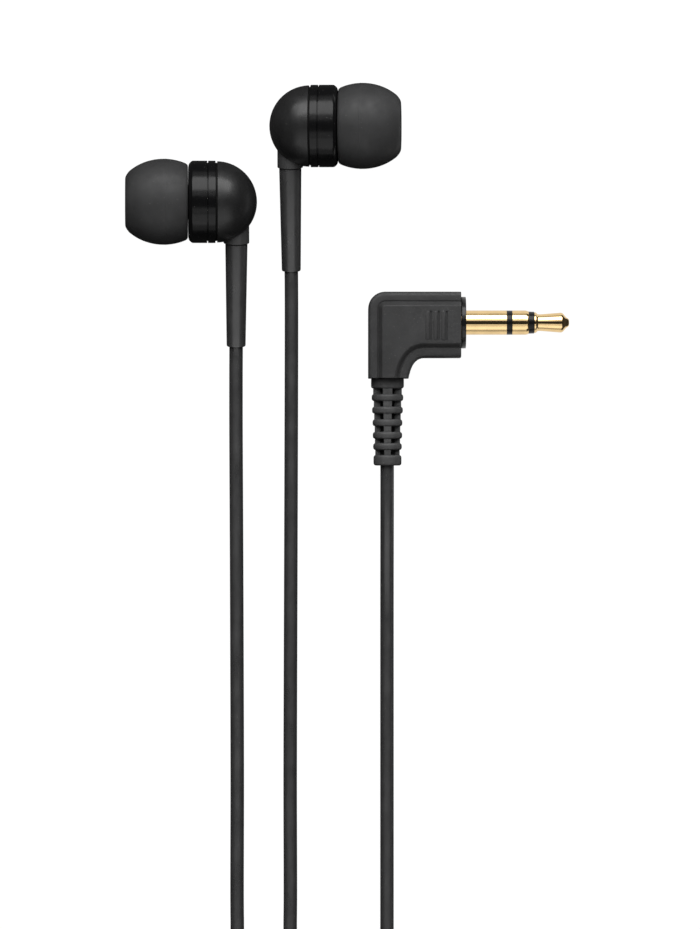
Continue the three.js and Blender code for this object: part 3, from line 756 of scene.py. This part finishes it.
def trim_band(prefix, pose):
    """The narrow glossy ring, with the step behind it that the front shell sits on."""
    outline = [
        (SEAM_HALF_GAP, CAVITY_RADIUS),
        (SEAM_HALF_GAP, BAND_RADIUS, CUT_FILLET),
        (TRIM_RING_FRONT, BAND_RADIUS, BAND_FILLET),
        (TRIM_RING_FRONT, LIP_RADIUS),
        (FRONT_SHELL_BACK - PIECE_GAP, LIP_RADIUS),
        (FRONT_SHELL_BACK - PIECE_GAP, CAVITY_RADIUS),
    ]
    name = prefix + "_trim_band"
    turned_piece(name, rounded(outline, True), pose, "gloss_shell", [prefix + "_trim_ring"], closed=True)


def front_housing(prefix, pose):
    """The front of the shell with the hollow nozzle and the barb that holds the tip."""
    bevel_back, bevel_front, bevel_drop = FACE_BEVEL
    outline = [
        (FRONT_SHELL_BACK, CAVITY_RADIUS),
        (FRONT_SHELL_BACK, BAND_RADIUS, BAND_FILLET),
        (FRONT_SHELL_FRONT - bevel_back, BAND_RADIUS, FACE_FILLET),
        (FRONT_SHELL_FRONT - bevel_front, BAND_RADIUS - bevel_drop, FACE_FILLET),
        (FRONT_SHELL_FRONT, BAND_RADIUS - FACE_DROP, FACE_FILLET),
        (FRONT_SHELL_FRONT, NOZZLE_RADIUS, FACE_FILLET),
        (NOZZLE_FRONT - BARB_BACK, NOZZLE_RADIUS, BARB_FILLET),
        (NOZZLE_FRONT - BARB_RISE, NOZZLE_LIP, BARB_FILLET),
        (NOZZLE_FRONT - BARB_FRONT, NOZZLE_LIP, 1.5 * BARB_FILLET),
        (NOZZLE_FRONT, NOZZLE_RADIUS + BARB_FILLET, BARB_FILLET),
        (NOZZLE_FRONT, NOZZLE_BORE, BARB_FILLET),
        (FRONT_WALL_BACK, NOZZLE_BORE),
        (FRONT_WALL_BACK, CAVITY_RADIUS),
    ]
    name = prefix + "_front_housing"
    turned_piece(name, rounded(outline, True), pose, "gloss_shell", [prefix + "_front_shell"], closed=True)


def wire(mesh, points, across):
    """A thin wire through points, with a square section between the X axis and the direction across."""
    sideways = Vector(across) * MESH_WIRE
    outwards = Vector((MESH_WIRE, 0, 0))
    rings = []
    for point in points:
        corners = (point + outwards, point + sideways, point - outwards, point - sideways)
        rings.append([mesh.verts.new(corner) for corner in corners])
    skin_solid(mesh, rings)


def wire_mesh(prefix, pose):
    """The woven screen over the nozzle's bore, in its pressed rim."""
    mesh = bmesh.new()
    rim_back = MESH_X - RIM_HALF_THICKNESS
    rim_front = MESH_X + RIM_HALF_THICKNESS
    rim_bore = MESH_RADIUS - RIM_WIDTH
    rim = [
        (rim_back, rim_bore),
        (rim_back, MESH_RADIUS),
        (rim_front, MESH_RADIUS, CUT_FILLET),
        (rim_front, rim_bore, CUT_FILLET),
    ]
    lathe(mesh, rounded(rim, True), SMALL_SIDES, closed=True)
    lanes = int((MESH_RADIUS - RIM_HALF_THICKNESS) / MESH_PITCH)
    for lane in range(-lanes, lanes + 1):
        offset = lane * MESH_PITCH
        half = math.sqrt((MESH_RADIUS - WIRE_END) ** 2 - offset**2)
        steps = max(4, round(4 * half / MESH_PITCH))
        over = []
        under = []
        for step in range(steps + 1):
            along = -half + 2 * half * step / steps
            weave = WEAVE_DEPTH * MESH_WIRE * math.cos(math.pi * (along / MESH_PITCH + lane))
            over.append(Vector((MESH_X + weave, along, offset)))
            under.append(Vector((MESH_X - weave, offset, along)))
        wire(mesh, over, (0, 0, 1))
        wire(mesh, under, (0, 1, 0))
    make_piece(prefix + "_wire_mesh", mesh, pose, "mesh_steel", [prefix + "_nozzle_mesh"])


def tip_radius(x):
    """The outside of the tip is one ellipse, with a faint raised line where the mould parts."""
    ellipse = TIP_RADIUS * math.sqrt(1 - ((x - TIP_WIDEST) / TIP_HALF_LENGTH) ** 2)
    return ellipse + MOULD_LINE_HEIGHT * math.exp(-(((x - TIP_MOULD_LINE) / MOULD_LINE_WIDTH) ** 2))


def silicone_tip(prefix, pose):
    """The soft tip: an outer skin folded back over the sleeve that grips the nozzle."""
    back = TIP_BACK + TIP_FOLD
    front = TIP_FRONT - 2 * TIP_FOLD
    stations = [back + (front - back) * i / TIP_STEPS for i in range(TIP_STEPS + 1)]
    stations += [TIP_MOULD_LINE + offset for offset in MOULD_LINE_OFFSETS]
    outside = [(x, tip_radius(x)) for x in sorted(stations)]
    inside = [(x, tip_radius(x) - TIP_SKIN) for x in TIP_SKIN_STATIONS]
    edge_radius = tip_radius(TIP_BACK)
    fold_inner, fold_outer = TIP_FOLD_THICKNESS
    folded_edge = rounded(
        [
            inside[-1],
            (TIP_BACK, edge_radius - fold_inner, TIP_FOLD_FILLET),
            (TIP_BACK, edge_radius - fold_outer, TIP_FOLD_FILLET),
            outside[0],
        ]
    )
    front_face = rounded(
        [
            outside[-1],
            (12.72, 4.02, 0.25),
            (TIP_FRONT, 3.5, 0.25),
            (TIP_FRONT, 2.6, 0.3),
            (TIP_FRONT - 0.45, TIP_SOUND_BORE, 0.4),
            (TIP_SLEEVE_END, TIP_SOUND_BORE),
        ]
    )
    sleeve = [
        (TIP_SLEEVE_END, TIP_SLEEVE_BORE),
        (TIP_BACK, TIP_SLEEVE_BORE, 0.2),
        (TIP_BACK, TIP_SLEEVE_RADIUS, 0.3),
        (9.4, TIP_SLEEVE_RADIUS, 0.6),
        (10.1, 4.4, 0.5),
        inside[0],
    ]
    outline = folded_edge[1:-1] + outside + front_face[1:] + rounded(sleeve)[:-1] + inside
    finish = {"body": prefix + "_tip", "closed": True}
    turned_piece(prefix + "_silicone_tip", outline, pose, "silicone", [prefix + "_ear_tip"], **finish)


def cord_boot(prefix, pose):
    """The tapered sleeve where the cord leaves the neck."""
    outline = [
        (BOOT_ROOT, CORD_BORE),
        (BOOT_ROOT, BOOT_ROOT_RADIUS),
        (BOOT_SHOULDER, BOOT_ROOT_RADIUS),
        (BOOT_SHOULDER, BOOT_TOP_RADIUS, 0.12),
        (BOOT_END, BOOT_END_RADIUS, 0.25),
        (BOOT_END, CORD_BORE, 0.08),
    ]
    finish = {"nodes": [prefix + "_strain_relief"], "sides": SMALL_SIDES, "closed": True}
    return turned_piece(prefix + "_cord_boot", rounded(outline, True), pose @ STEM, "soft_sleeve", **finish)


def earphone(prefix):
    """Returns the boot, which is on the cord."""
    pose = POSES[prefix]
    rear_housing(prefix, pose)
    trim_band(prefix, pose)
    front_housing(prefix, pose)
    wire_mesh(prefix, pose)
    silicone_tip(prefix, pose)
    for part, slot in INNER_PARTS.items():
        finish_cad_node(f"{prefix}_{part}", slot)
    return cord_boot(prefix, pose)


# ======== Plug ========

PLUG_LOW, PLUG_HIGH = box_mm("plug_body")
PLUG_AXIS = middle("plug_sleeve")
PLUG_CORNER = 2.43
PLUG_ARM_BOTTOM = PLUG_LOW[1] + 2.94
SLAB_HALF = 3.05
PANEL_HALF = (PLUG_HIGH[2] - PLUG_LOW[2]) / 2
PLUG_NECK_RIGHT = 20.75
PLUG_NECK_FLARE = 0.25
PLUG_ELBOW_X = 21.3
PLUG_ARM_START = 23
PLUG_CURVE_STEPS = 10
# How far the outline is carried on past an open end.
PAST_END = 3
# Half the rim's section: how far in from the outline, how far from the middle plane, and the corner's size.
HALF_SECTION = [
    (0, 0),
    (0, SLAB_HALF, 0.9),
    (1.3, SLAB_HALF, 0.1),
    (1.42, SLAB_HALF - 0.16, 0.1),
    (2.0, PANEL_HALF, 0.2),
    (2.25, PANEL_HALF),
]
CUT_ROUNDING = 0.1

# ---- Grip: grooves in both faces, and a low bar beside each groove of the upper one ----
GRIP_LINES = (23.92, 25.04, 26.16)
GRIP_MIDDLE_Y = PLUG_AXIS.y - 0.5
GRIP_LENGTH = 4.2
GROOVE_WIDTH = 0.32
GROOVE_DEPTH = 0.25
BAR_OFFSET = 0.47
BAR_HALF_WIDTH = 0.3
BAR_HEIGHT = 0.14
BAR_SINK = 0.02
BAR_STEPS = 8
# Stations along a bar: how far from its middle, and the part of its full size there.
BAR_STATIONS = ((-2.1, 0.25), (-2.02, 0.75), (-1.85, 1), (1.85, 1), (2.02, 0.75), (2.1, 0.25))


def plug_outline():
    """The L-shaped outline, anticlockwise, carried on past both open ends, which are cut square later."""
    neck_bottom = PLUG_LOW[1]
    arm_bottom = PLUG_ARM_BOTTOM
    points = [
        (PLUG_LOW[0], neck_bottom - PAST_END),
        (PLUG_NECK_RIGHT - PLUG_NECK_FLARE, neck_bottom - PAST_END),
        (PLUG_NECK_RIGHT, neck_bottom),
    ]
    start = Vector((PLUG_NECK_RIGHT, neck_bottom))
    bend = Vector((PLUG_ELBOW_X, arm_bottom))
    end = Vector((PLUG_ARM_START, arm_bottom))
    for step in range(1, PLUG_CURVE_STEPS + 1):
        t = step / PLUG_CURVE_STEPS
        points.append(tuple(start * (1 - t) ** 2 + bend * (2 * t * (1 - t)) + end * t**2))
    points += [(PLUG_HIGH[0] + PAST_END, arm_bottom), (PLUG_HIGH[0] + PAST_END, PLUG_HIGH[1])]
    for step in range(PLUG_CURVE_STEPS + 1):
        angle = math.pi / 2 * (1 + step / PLUG_CURVE_STEPS)
        x = PLUG_LOW[0] + PLUG_CORNER + PLUG_CORNER * math.cos(angle)
        points.append((x, PLUG_HIGH[1] - PLUG_CORNER + PLUG_CORNER * math.sin(angle)))
    return [Vector(point) for point in points]


def drawn_in(outline, inset):
    """An anticlockwise outline moved inwards by inset."""
    moved = []
    for before, here, after in zip(outline[-1:] + outline, outline, outline[1:] + outline[:1]):
        arriving = (here - before).normalized()
        leaving = (after - here).normalized()
        inwards = Vector((-arriving.y - leaving.y, arriving.x + leaving.x))
        normal = Vector((-arriving.y, arriving.x))
        moved.append(here + inwards * (inset / inwards.dot(normal)))
    return moved


def grip_cutter():
    """The dark grooves beside the grip bars, as one object that is cut out of both faces."""
    mesh = bmesh.new()
    size = Matrix.Diagonal((GROOVE_WIDTH, GRIP_LENGTH, 2 * GROOVE_DEPTH, 1))
    for x in GRIP_LINES:
        for face in (-1, 1):
            place = Matrix.Translation((x, GRIP_MIDDLE_Y, PLUG_AXIS.z + face * PANEL_HALF))
            bmesh.ops.create_cube(mesh, size=1, matrix=TO_METRES @ place @ size)
    return add_object("grip_cutter", mesh_data("grip_cutter", mesh))


def cut(piece, cutter):
    """Cuts one object out of another for good, and removes the cutter."""
    modifier = piece.modifiers.new("cut", "BOOLEAN")
    modifier.operation = "DIFFERENCE"
    modifier.solver = "EXACT"
    modifier.object = cutter
    data = bpy.data.meshes.new_from_object(piece.evaluated_get(bpy.context.evaluated_depsgraph_get()))
    piece.modifiers.remove(modifier)
    piece.data = data
    bpy.data.objects.remove(cutter)
    data.attributes.remove(data.attributes["edge"])
    shade_surface(data)


def cap_cut(mesh, point, normal):
    """Cuts a mesh at a plane, closes it and rounds the rim of the cut."""
    everything = mesh.verts[:] + mesh.edges[:] + mesh.faces[:]
    bmesh.ops.bisect_plane(mesh, geom=everything, plane_co=point, plane_no=normal, clear_outer=True)
    rim = [edge for edge in mesh.edges if edge.is_boundary]
    bmesh.ops.holes_fill(mesh, edges=rim, sides=0)
    bmesh.ops.bevel(mesh, geom=rim, offset=CUT_ROUNDING, segments=3, profile=0.5, affect="EDGES")


def plug_housing():
    """The right-angled body: a slab with a rounded rim and a raised panel on both faces."""
    half_section = rounded(HALF_SECTION)[1:]
    section = [(inset, -z) for inset, z in reversed(half_section)]
    section += [(inset, z) for inset, z in half_section]
    outline = plug_outline()
    mesh = bmesh.new()
    rings = []
    for inset, z in section:
        rings.append([mesh.verts.new((*point, PLUG_AXIS.z + z)) for point in drawn_in(outline, inset)])
    skin_solid(mesh, rings)
    cap_cut(mesh, (PLUG_HIGH[0], 0, 0), (1, 0, 0))
    cap_cut(mesh, (0, PLUG_LOW[1], 0), (0, -1, 0))
    housing = make_piece("plug_housing", mesh, TO_METRES, "plug_mould", ["plug_body"])
    cut(housing, grip_cutter())
    return housing


def grip_bars():
    """Low rounded bars beside the grooves of the upper face; the lower face lies flat on the table."""
    mesh = bmesh.new()
    for x in GRIP_LINES:
        rings = []
        for y, size in BAR_STATIONS:
            ring = []
            for step in range(BAR_STEPS + 1):
                angle = math.pi * step / BAR_STEPS
                across = x - BAR_OFFSET + BAR_HALF_WIDTH * size * math.cos(angle)
                rise = PANEL_HALF - BAR_SINK + BAR_HEIGHT * size * math.sin(angle)
                ring.append(mesh.verts.new((across, GRIP_MIDDLE_Y + y, PLUG_AXIS.z + rise)))
            rings.append(ring)
        skin_solid(mesh, rings)
    return make_piece("plug_grip_bars", mesh, TO_METRES, "plug_mould")


# ---- Contacts: each runs back into the core as a tube inside the one before it ----
CONTACT_RADIUS = 1.75
COLLAR_RADIUS = 3.7
COLLAR_BORE = 1.5
TIP_HEAD_RADIUS = 1.475
TIP_WAIST_RADIUS = 1.2
# Each one's CAD node: its piece and slot, and its tube's back end, radius and bore.
CONTACTS = {
    "plug_sleeve": ("plug_sleeve_contact", "gold", 22.6, CONTACT_RADIUS, 1.0),
    "plug_rear_insulator": ("plug_rear_insulating_ring", "insulator", 22.1, 1.4, 0.9),
    "plug_ring": ("plug_ring_contact", "gold", 21.6, 1.1, 0.8),
    "plug_front_insulator": ("plug_front_insulating_ring", "insulator", 21.1, 0.85, 0.6),
    "plug_tip": ("plug_tip_contact", "gold", 20.6, 0.55, 0),
}


def contacts():
    """The collar and the plated contacts with their insulators, all turned on the plug's axis."""
    pose = TO_METRES @ Matrix.Translation((0, PLUG_AXIS.y, PLUG_AXIS.z))
    collar_back, collar_front = (corner[0] for corner in box_mm("plug_collar"))
    sleeve_end, rear_end, ring_end, front_end, tip_end = (box_mm(node)[1][0] for node in CONTACTS)
    collar = [
        (collar_back, COLLAR_BORE),
        (collar_back, COLLAR_RADIUS, 0.1),
        (collar_front, COLLAR_RADIUS, 0.12),
        (collar_front, COLLAR_BORE),
    ]
    seen_parts = {
        "plug_sleeve": [(sleeve_end, CONTACT_RADIUS, 0.05)],
        "plug_rear_insulator": [
            (sleeve_end, 1.4),
            (sleeve_end, CONTACT_RADIUS - 0.015),
            (rear_end, CONTACT_RADIUS - 0.015),
        ],
        "plug_ring": [
            (rear_end, 1.1),
            (rear_end, CONTACT_RADIUS, 0.05),
            (ring_end - 0.35, CONTACT_RADIUS, 0.2),
            (ring_end, 1.62, 0.06),
        ],
        "plug_front_insulator": [(ring_end, 0.85), (ring_end, 1.585), (front_end, 1.56)],
        "plug_tip": [
            (front_end, 0.55),
            (front_end, TIP_HEAD_RADIUS, 0.08),
            (front_end + 0.28, TIP_HEAD_RADIUS, 0.12),
            (front_end + 0.52, TIP_WAIST_RADIUS, 0.12),
            (front_end + 0.92, TIP_WAIST_RADIUS, 0.2),
            (42.75, 1.45, 0.3),
            (43.3, 0.78, 0.12),
            (tip_end - 0.02, 0.5, 0.2),
            (tip_end, 0),
        ],
    }
    outline = rounded(collar, True)
    made = [turned_piece("plug_front_collar", outline, pose, "plug_collar", ["plug_collar"], closed=True)]
    for node, seen in seen_parts.items():
        name, slot, back, radius, bore = CONTACTS[node]
        hollow = bore > 0
        front = [(seen[-1][0], bore)] if hollow else []
        outline = rounded([(back, bore), (back, radius), *seen, *front], hollow)
        made.append(turned_piece(name, outline, pose, slot, [node], closed=hollow))
    return made


# ---- Strain relief under the plug: depths run down the cord from y = 0 ----
# The collar's end and radius, each rib's start, end and radius, and the end ring's start and radius.
RELIEF_COLLAR = (24.71, 2.35)
RELIEF_RIBS = [
    (25.5, 26.5, 2.26),
    (27.3, 28.3, 2.2),
    (29.1, 30.1, 2.13),
    (30.9, 31.9, 2.1),
    (32.5, 33.5, 2.05),
]
RELIEF_END_RING = (34.21, 2.0)
RELIEF_CORE_RADIUS = 1.15
RELIEF_CORE_INSET = (0.5, 0.3)
RELIEF_OVERLAP = 0.08
RIB_FILLET = 0.42
RIM_FILLET = 0.12
# Half a web's width is WEB_SPREAD times the ring's radius, less WEB_LESS.
WEB_SPREAD = 0.7
WEB_LESS = 0.95
WEB_FOOT = 1
WEB_DROP = 0.3
WEB_OVERLAP = 0.2
WEB_ROUNDING = 0.1


def along_plug_cord():
    """From an x axis that points from the plug to its cord, to the world."""
    place = Matrix.Translation((middle("plug_strain_relief").x, 0, PLUG_AXIS.z))
    return TO_METRES @ place @ Matrix.Rotation(-math.pi / 2, 4, "Z")


def add_webs(mesh, back, front, radius):
    """Four bars between one ring and the next, a quarter turn apart, with open windows between them."""
    length = front - back + 2 * WEB_OVERLAP
    width = 2 * (WEB_SPREAD * radius - WEB_LESS)
    height = radius - WEB_DROP - WEB_FOOT
    size = Matrix.Diagonal((length, width, height, 1))
    place = Matrix.Translation(((back + front) / 2, 0, WEB_FOOT + height / 2))
    for quarter in range(4):
        turn = Matrix.Rotation(quarter * math.pi / 2, 4, "X")
        made = bmesh.ops.create_cube(mesh, size=1, matrix=turn @ place @ size)
        edges = list({edge for vertex in made["verts"] for edge in vertex.link_edges})
        bmesh.ops.bevel(mesh, geom=edges, offset=WEB_ROUNDING, segments=2, profile=0.5, affect="EDGES")


def strain_relief():
    """Rings joined by webs round a core painted near-black as painted shade between the rings; returns the
    ringed sleeve and the core.
    """
    nodes = ["plug_strain_relief"]
    pose = along_plug_cord()
    low, high = box_mm("plug_strain_relief")
    top = -high[1]
    bottom = -low[1]
    core_back = top + RELIEF_CORE_INSET[0]
    core_front = bottom - RELIEF_CORE_INSET[1]
    core = [(core_back, CORD_BORE), (core_back, RELIEF_CORE_RADIUS)]
    core += [(core_front, RELIEF_CORE_RADIUS), (core_front, CORD_BORE)]
    # The core is painted near-black: painted shade between the relief's rings.
    finish = {"sides": SMALL_SIDES, "closed": True, "material": "painted_shade_black"}
    core_piece = turned_piece("plug_relief_core", core, pose, "plug_sleeve_rubber", nodes, **finish)

    collar_end, collar_radius = RELIEF_COLLAR
    end_ring, end_radius = RELIEF_END_RING
    collar = (top - RELIEF_OVERLAP, collar_end, collar_radius)
    bands = [collar, *RELIEF_RIBS, (end_ring, bottom, end_radius)]
    mesh = bmesh.new()
    for band in bands:
        back, front, radius = band
        fillet = RIM_FILLET if band is collar else RIB_FILLET
        outline = [(back, CORD_BORE), (back, radius, fillet)]
        outline += [(front, radius, RIB_FILLET), (front, CORD_BORE)]
        lathe(mesh, rounded(outline, True), SMALL_SIDES, closed=True)
    for (_, back, radius), (front, _, _) in zip(bands, bands[1:]):
        add_webs(mesh, back, front, radius)
    return [make_piece("plug_cord_relief", mesh, pose, "plug_sleeve_rubber", nodes), core_piece]


# ======== Splitter ========

SPLITTER_STEPS = 28
SPLITTER_SIDES = 48
SPLITTER_END_HALF_WIDTH = 1.8
SPLITTER_END_HALF_HEIGHT = 1.55
# Both ends draw in by this part of their size, over this part of the length.
SPLITTER_DRAWN_IN = 0.22
SPLITTER_END_PART = 1 / 14
# Below 1, these make the section squarer than an ellipse across and up.
SPLITTER_SQUARE_ACROSS = 0.7
SPLITTER_SQUARE_UP = 0.8


def splitter():
    """Where the two ear cords become one: wide at the top and narrow at the bottom."""
    low, high = box_mm("cord_splitter")
    top_half_width = (high[0] - low[0]) / 2
    top_half_height = (high[2] - low[2]) / 2
    mesh = bmesh.new()
    rings = []
    for step in range(SPLITTER_STEPS + 1):
        t = step / SPLITTER_STEPS
        y = high[1] + (low[1] - high[1]) * t
        from_end = min(1, t / SPLITTER_END_PART, (1 - t) / SPLITTER_END_PART)
        full = 1 - SPLITTER_DRAWN_IN * (1 - from_end) ** 2
        half_width = (top_half_width + (SPLITTER_END_HALF_WIDTH - top_half_width) * ease(t)) * full
        thinning = ease(t * 1.1 - 0.1)
        half_height = (top_half_height + (SPLITTER_END_HALF_HEIGHT - top_half_height) * thinning) * full
        ring = []
        for side in range(SPLITTER_SIDES):
            angle = 2 * math.pi * side / SPLITTER_SIDES
            cosine = math.cos(angle)
            sine = math.sin(angle)
            x = math.copysign(abs(cosine) ** SPLITTER_SQUARE_ACROSS, cosine) * half_width
            z = math.copysign(abs(sine) ** SPLITTER_SQUARE_UP, sine) * half_height
            ring.append(mesh.verts.new((x, y, SPLITTER_Z + z)))
        rings.append(ring)
    skin_solid(mesh, rings)
    return make_piece("cord_y_splitter", mesh, TO_METRES, "soft_sleeve", ["cord_splitter"])


# ======== Table and light ========

# ---- Table: it is white to the camera and dark to the object's undersides ----
TABLE_HALF = 3
TABLE_SHADES = ((0.028, 0.028, 0.028), (0.034, 0.034, 0.034))
TABLE_CLOUDS = 60
TABLE_GLOW = 1.0
# A long card of light beside the contacts, which only mirrored rays see, in mm.
REFLECTOR_X = 38.5
REFLECTOR_SQUEEZE = 0.08
REFLECTOR_INNER = 9.5
REFLECTOR_OUTER = 12
REFLECTOR_GLOW = 0.8

# ---- Room: how dark it is, and its glow between two heights of the horizon's Y ----
WORLD_DARK = 0.03
WORLD_HORIZON = 0.5
HORIZON_START = 0.86
HORIZON_FULL = 0.97

# ---- Lights, in metres and degrees ----
BOX_WIDTH = 1.3
BOX_HEIGHT = 0.5
BOX_DISTANCE = 0.8
OVERHEAD_WIDTH = 0.4
OVERHEAD_DISTANCE = 1.3


def reflector_card(tree):
    """The card's brightness at a point of the table, which fades out at its rim."""
    position = add_node(tree, "NewGeometry").outputs["Position"]
    squeeze = {0: position, 1: (1, REFLECTOR_SQUEEZE, 1)}
    squeezed = add_node(tree, "VectorMath", squeeze, operation="MULTIPLY").outputs["Vector"]
    centre = (REFLECTOR_X * MM, REFLECTOR_SQUEEZE * PLUG_AXIS.y * MM, 0)
    distance = add_node(tree, "VectorMath", {0: squeezed, 1: centre}, operation="DISTANCE").outputs["Value"]
    return remap(tree, distance, REFLECTOR_INNER * MM, REFLECTOR_OUTER * MM, REFLECTOR_GLOW, 0)


def add_table():
    material, tree, shader = shader_of("table_white")
    clouds = remap(tree, noise(tree, TABLE_CLOUDS, detail=3), 0.3, 0.7, 0, 1)
    tree.links.new(blend_colours(tree, clouds, *TABLE_SHADES), shader.inputs["Base Color"])
    shader.inputs["Roughness"].default_value = 0.9
    shader.inputs["Specular IOR Level"].default_value = 0.0
    shader.inputs["Emission Color"].default_value = (1, 1, 1, 1)
    path = add_node(tree, "LightPath")
    seen = remap(tree, path.outputs["Is Camera Ray"], 0, 1, 0, TABLE_GLOW)
    mirrored = combine(tree, "MULTIPLY", path.outputs["Is Glossy Ray"], reflector_card(tree))
    tree.links.new(combine(tree, "ADD", seen, mirrored), shader.inputs["Emission Strength"])
    mesh = bmesh.new()
    bmesh.ops.create_grid(mesh, x_segments=1, y_segments=1, size=TABLE_HALF)
    data = mesh_data("table", mesh)
    data.materials.append(material)
    add_object("table", data)


def add_light(name, side, tilt, power, height=BOX_HEIGHT, width=BOX_WIDTH, distance=BOX_DISTANCE):
    """A soft box the camera can't see, tilt degrees from straight above towards side * Y."""
    data = bpy.data.lights.new(name, "AREA")
    data.shape = "RECTANGLE"
    data.size = width
    data.size_y = height
    data.energy = power
    light = add_object(name, data)
    angle = math.radians(tilt)
    target = Vector((*VIEW_CENTRE, 0)) * MM
    light.location = target + distance * Vector((0, side * math.sin(angle), math.cos(angle)))
    light.rotation_euler = (side * -angle, 0, 0)
    light.visible_camera = False
    return light


def add_world():
    """A dark room with a dim glow along the horizon towards +Y and -Y, in front of a white backdrop."""
    world = bpy.data.worlds.new("studio")
    world.use_nodes = True
    tree = world.node_tree
    coordinates = add_node(tree, "TexCoord").outputs["Generated"]
    direction = add_node(tree, "SeparateXYZ", {"Vector": coordinates})
    sideways = combine(tree, "ABSOLUTE", direction.outputs["Y"])
    glow = remap(tree, sideways, HORIZON_START, HORIZON_FULL, WORLD_DARK, WORLD_HORIZON)
    path = add_node(tree, "LightPath")
    brightness = combine(tree, "MAXIMUM", path.outputs["Is Camera Ray"], glow)
    background = tree.nodes["Background"]
    tree.links.new(brightness, background.inputs["Strength"])
    background.inputs["Color"].default_value = (1, 1, 1, 1)
    bpy.context.scene.world = world


def add_lighting():
    add_world()
    bpy.context.scene.view_settings.view_transform = "Standard"
    add_light("soft_box_far", side=1, tilt=52, height=0.56, power=9.2)
    add_light("soft_box_far_edge", side=1, tilt=24.5, height=0.225, power=0.75)
    near = add_light("soft_box_near", side=-1, tilt=52, power=2.3)
    near.visible_diffuse = False
    add_light("soft_box_near_edge", side=-1, tilt=24.5, height=0.225, power=0.7)
    near_fill = add_light("near_fill", side=-1, tilt=60, power=0.25)
    near_fill.visible_glossy = False
    overhead_size = {"width": OVERHEAD_WIDTH, "distance": OVERHEAD_DISTANCE}
    overhead = add_light("overhead_fill", side=1, tilt=25, power=11, **overhead_size)
    overhead.visible_glossy = False


# ======== Everything ========

add_camera()
add_lighting()
add_table()

boots = {prefix: earphone(prefix) for prefix in ("left", "right")}
y_splitter = splitter()
plug_pieces = [plug_housing(), grip_bars(), *contacts(), *strain_relief()]
for node, slot in (("plug_core", "inner_plastic"), ("plug_cord_end", "cord_jacket")):
    finish_cad_node(node, slot)

for prefix, side in (("left", -1), ("right", 1)):
    ear_cord, ear_cord_length = cord(prefix + "_ear_cord", ear_cord_route(prefix, side))
    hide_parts(f"{prefix}_cord_upper", f"{prefix}_cord_lower", "ear_cord_coil")

main_cord, main_cord_length = cord("main_cord", main_cord_route())
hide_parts("main_cord_lower", "main_cord_upper", "main_cord_coil")
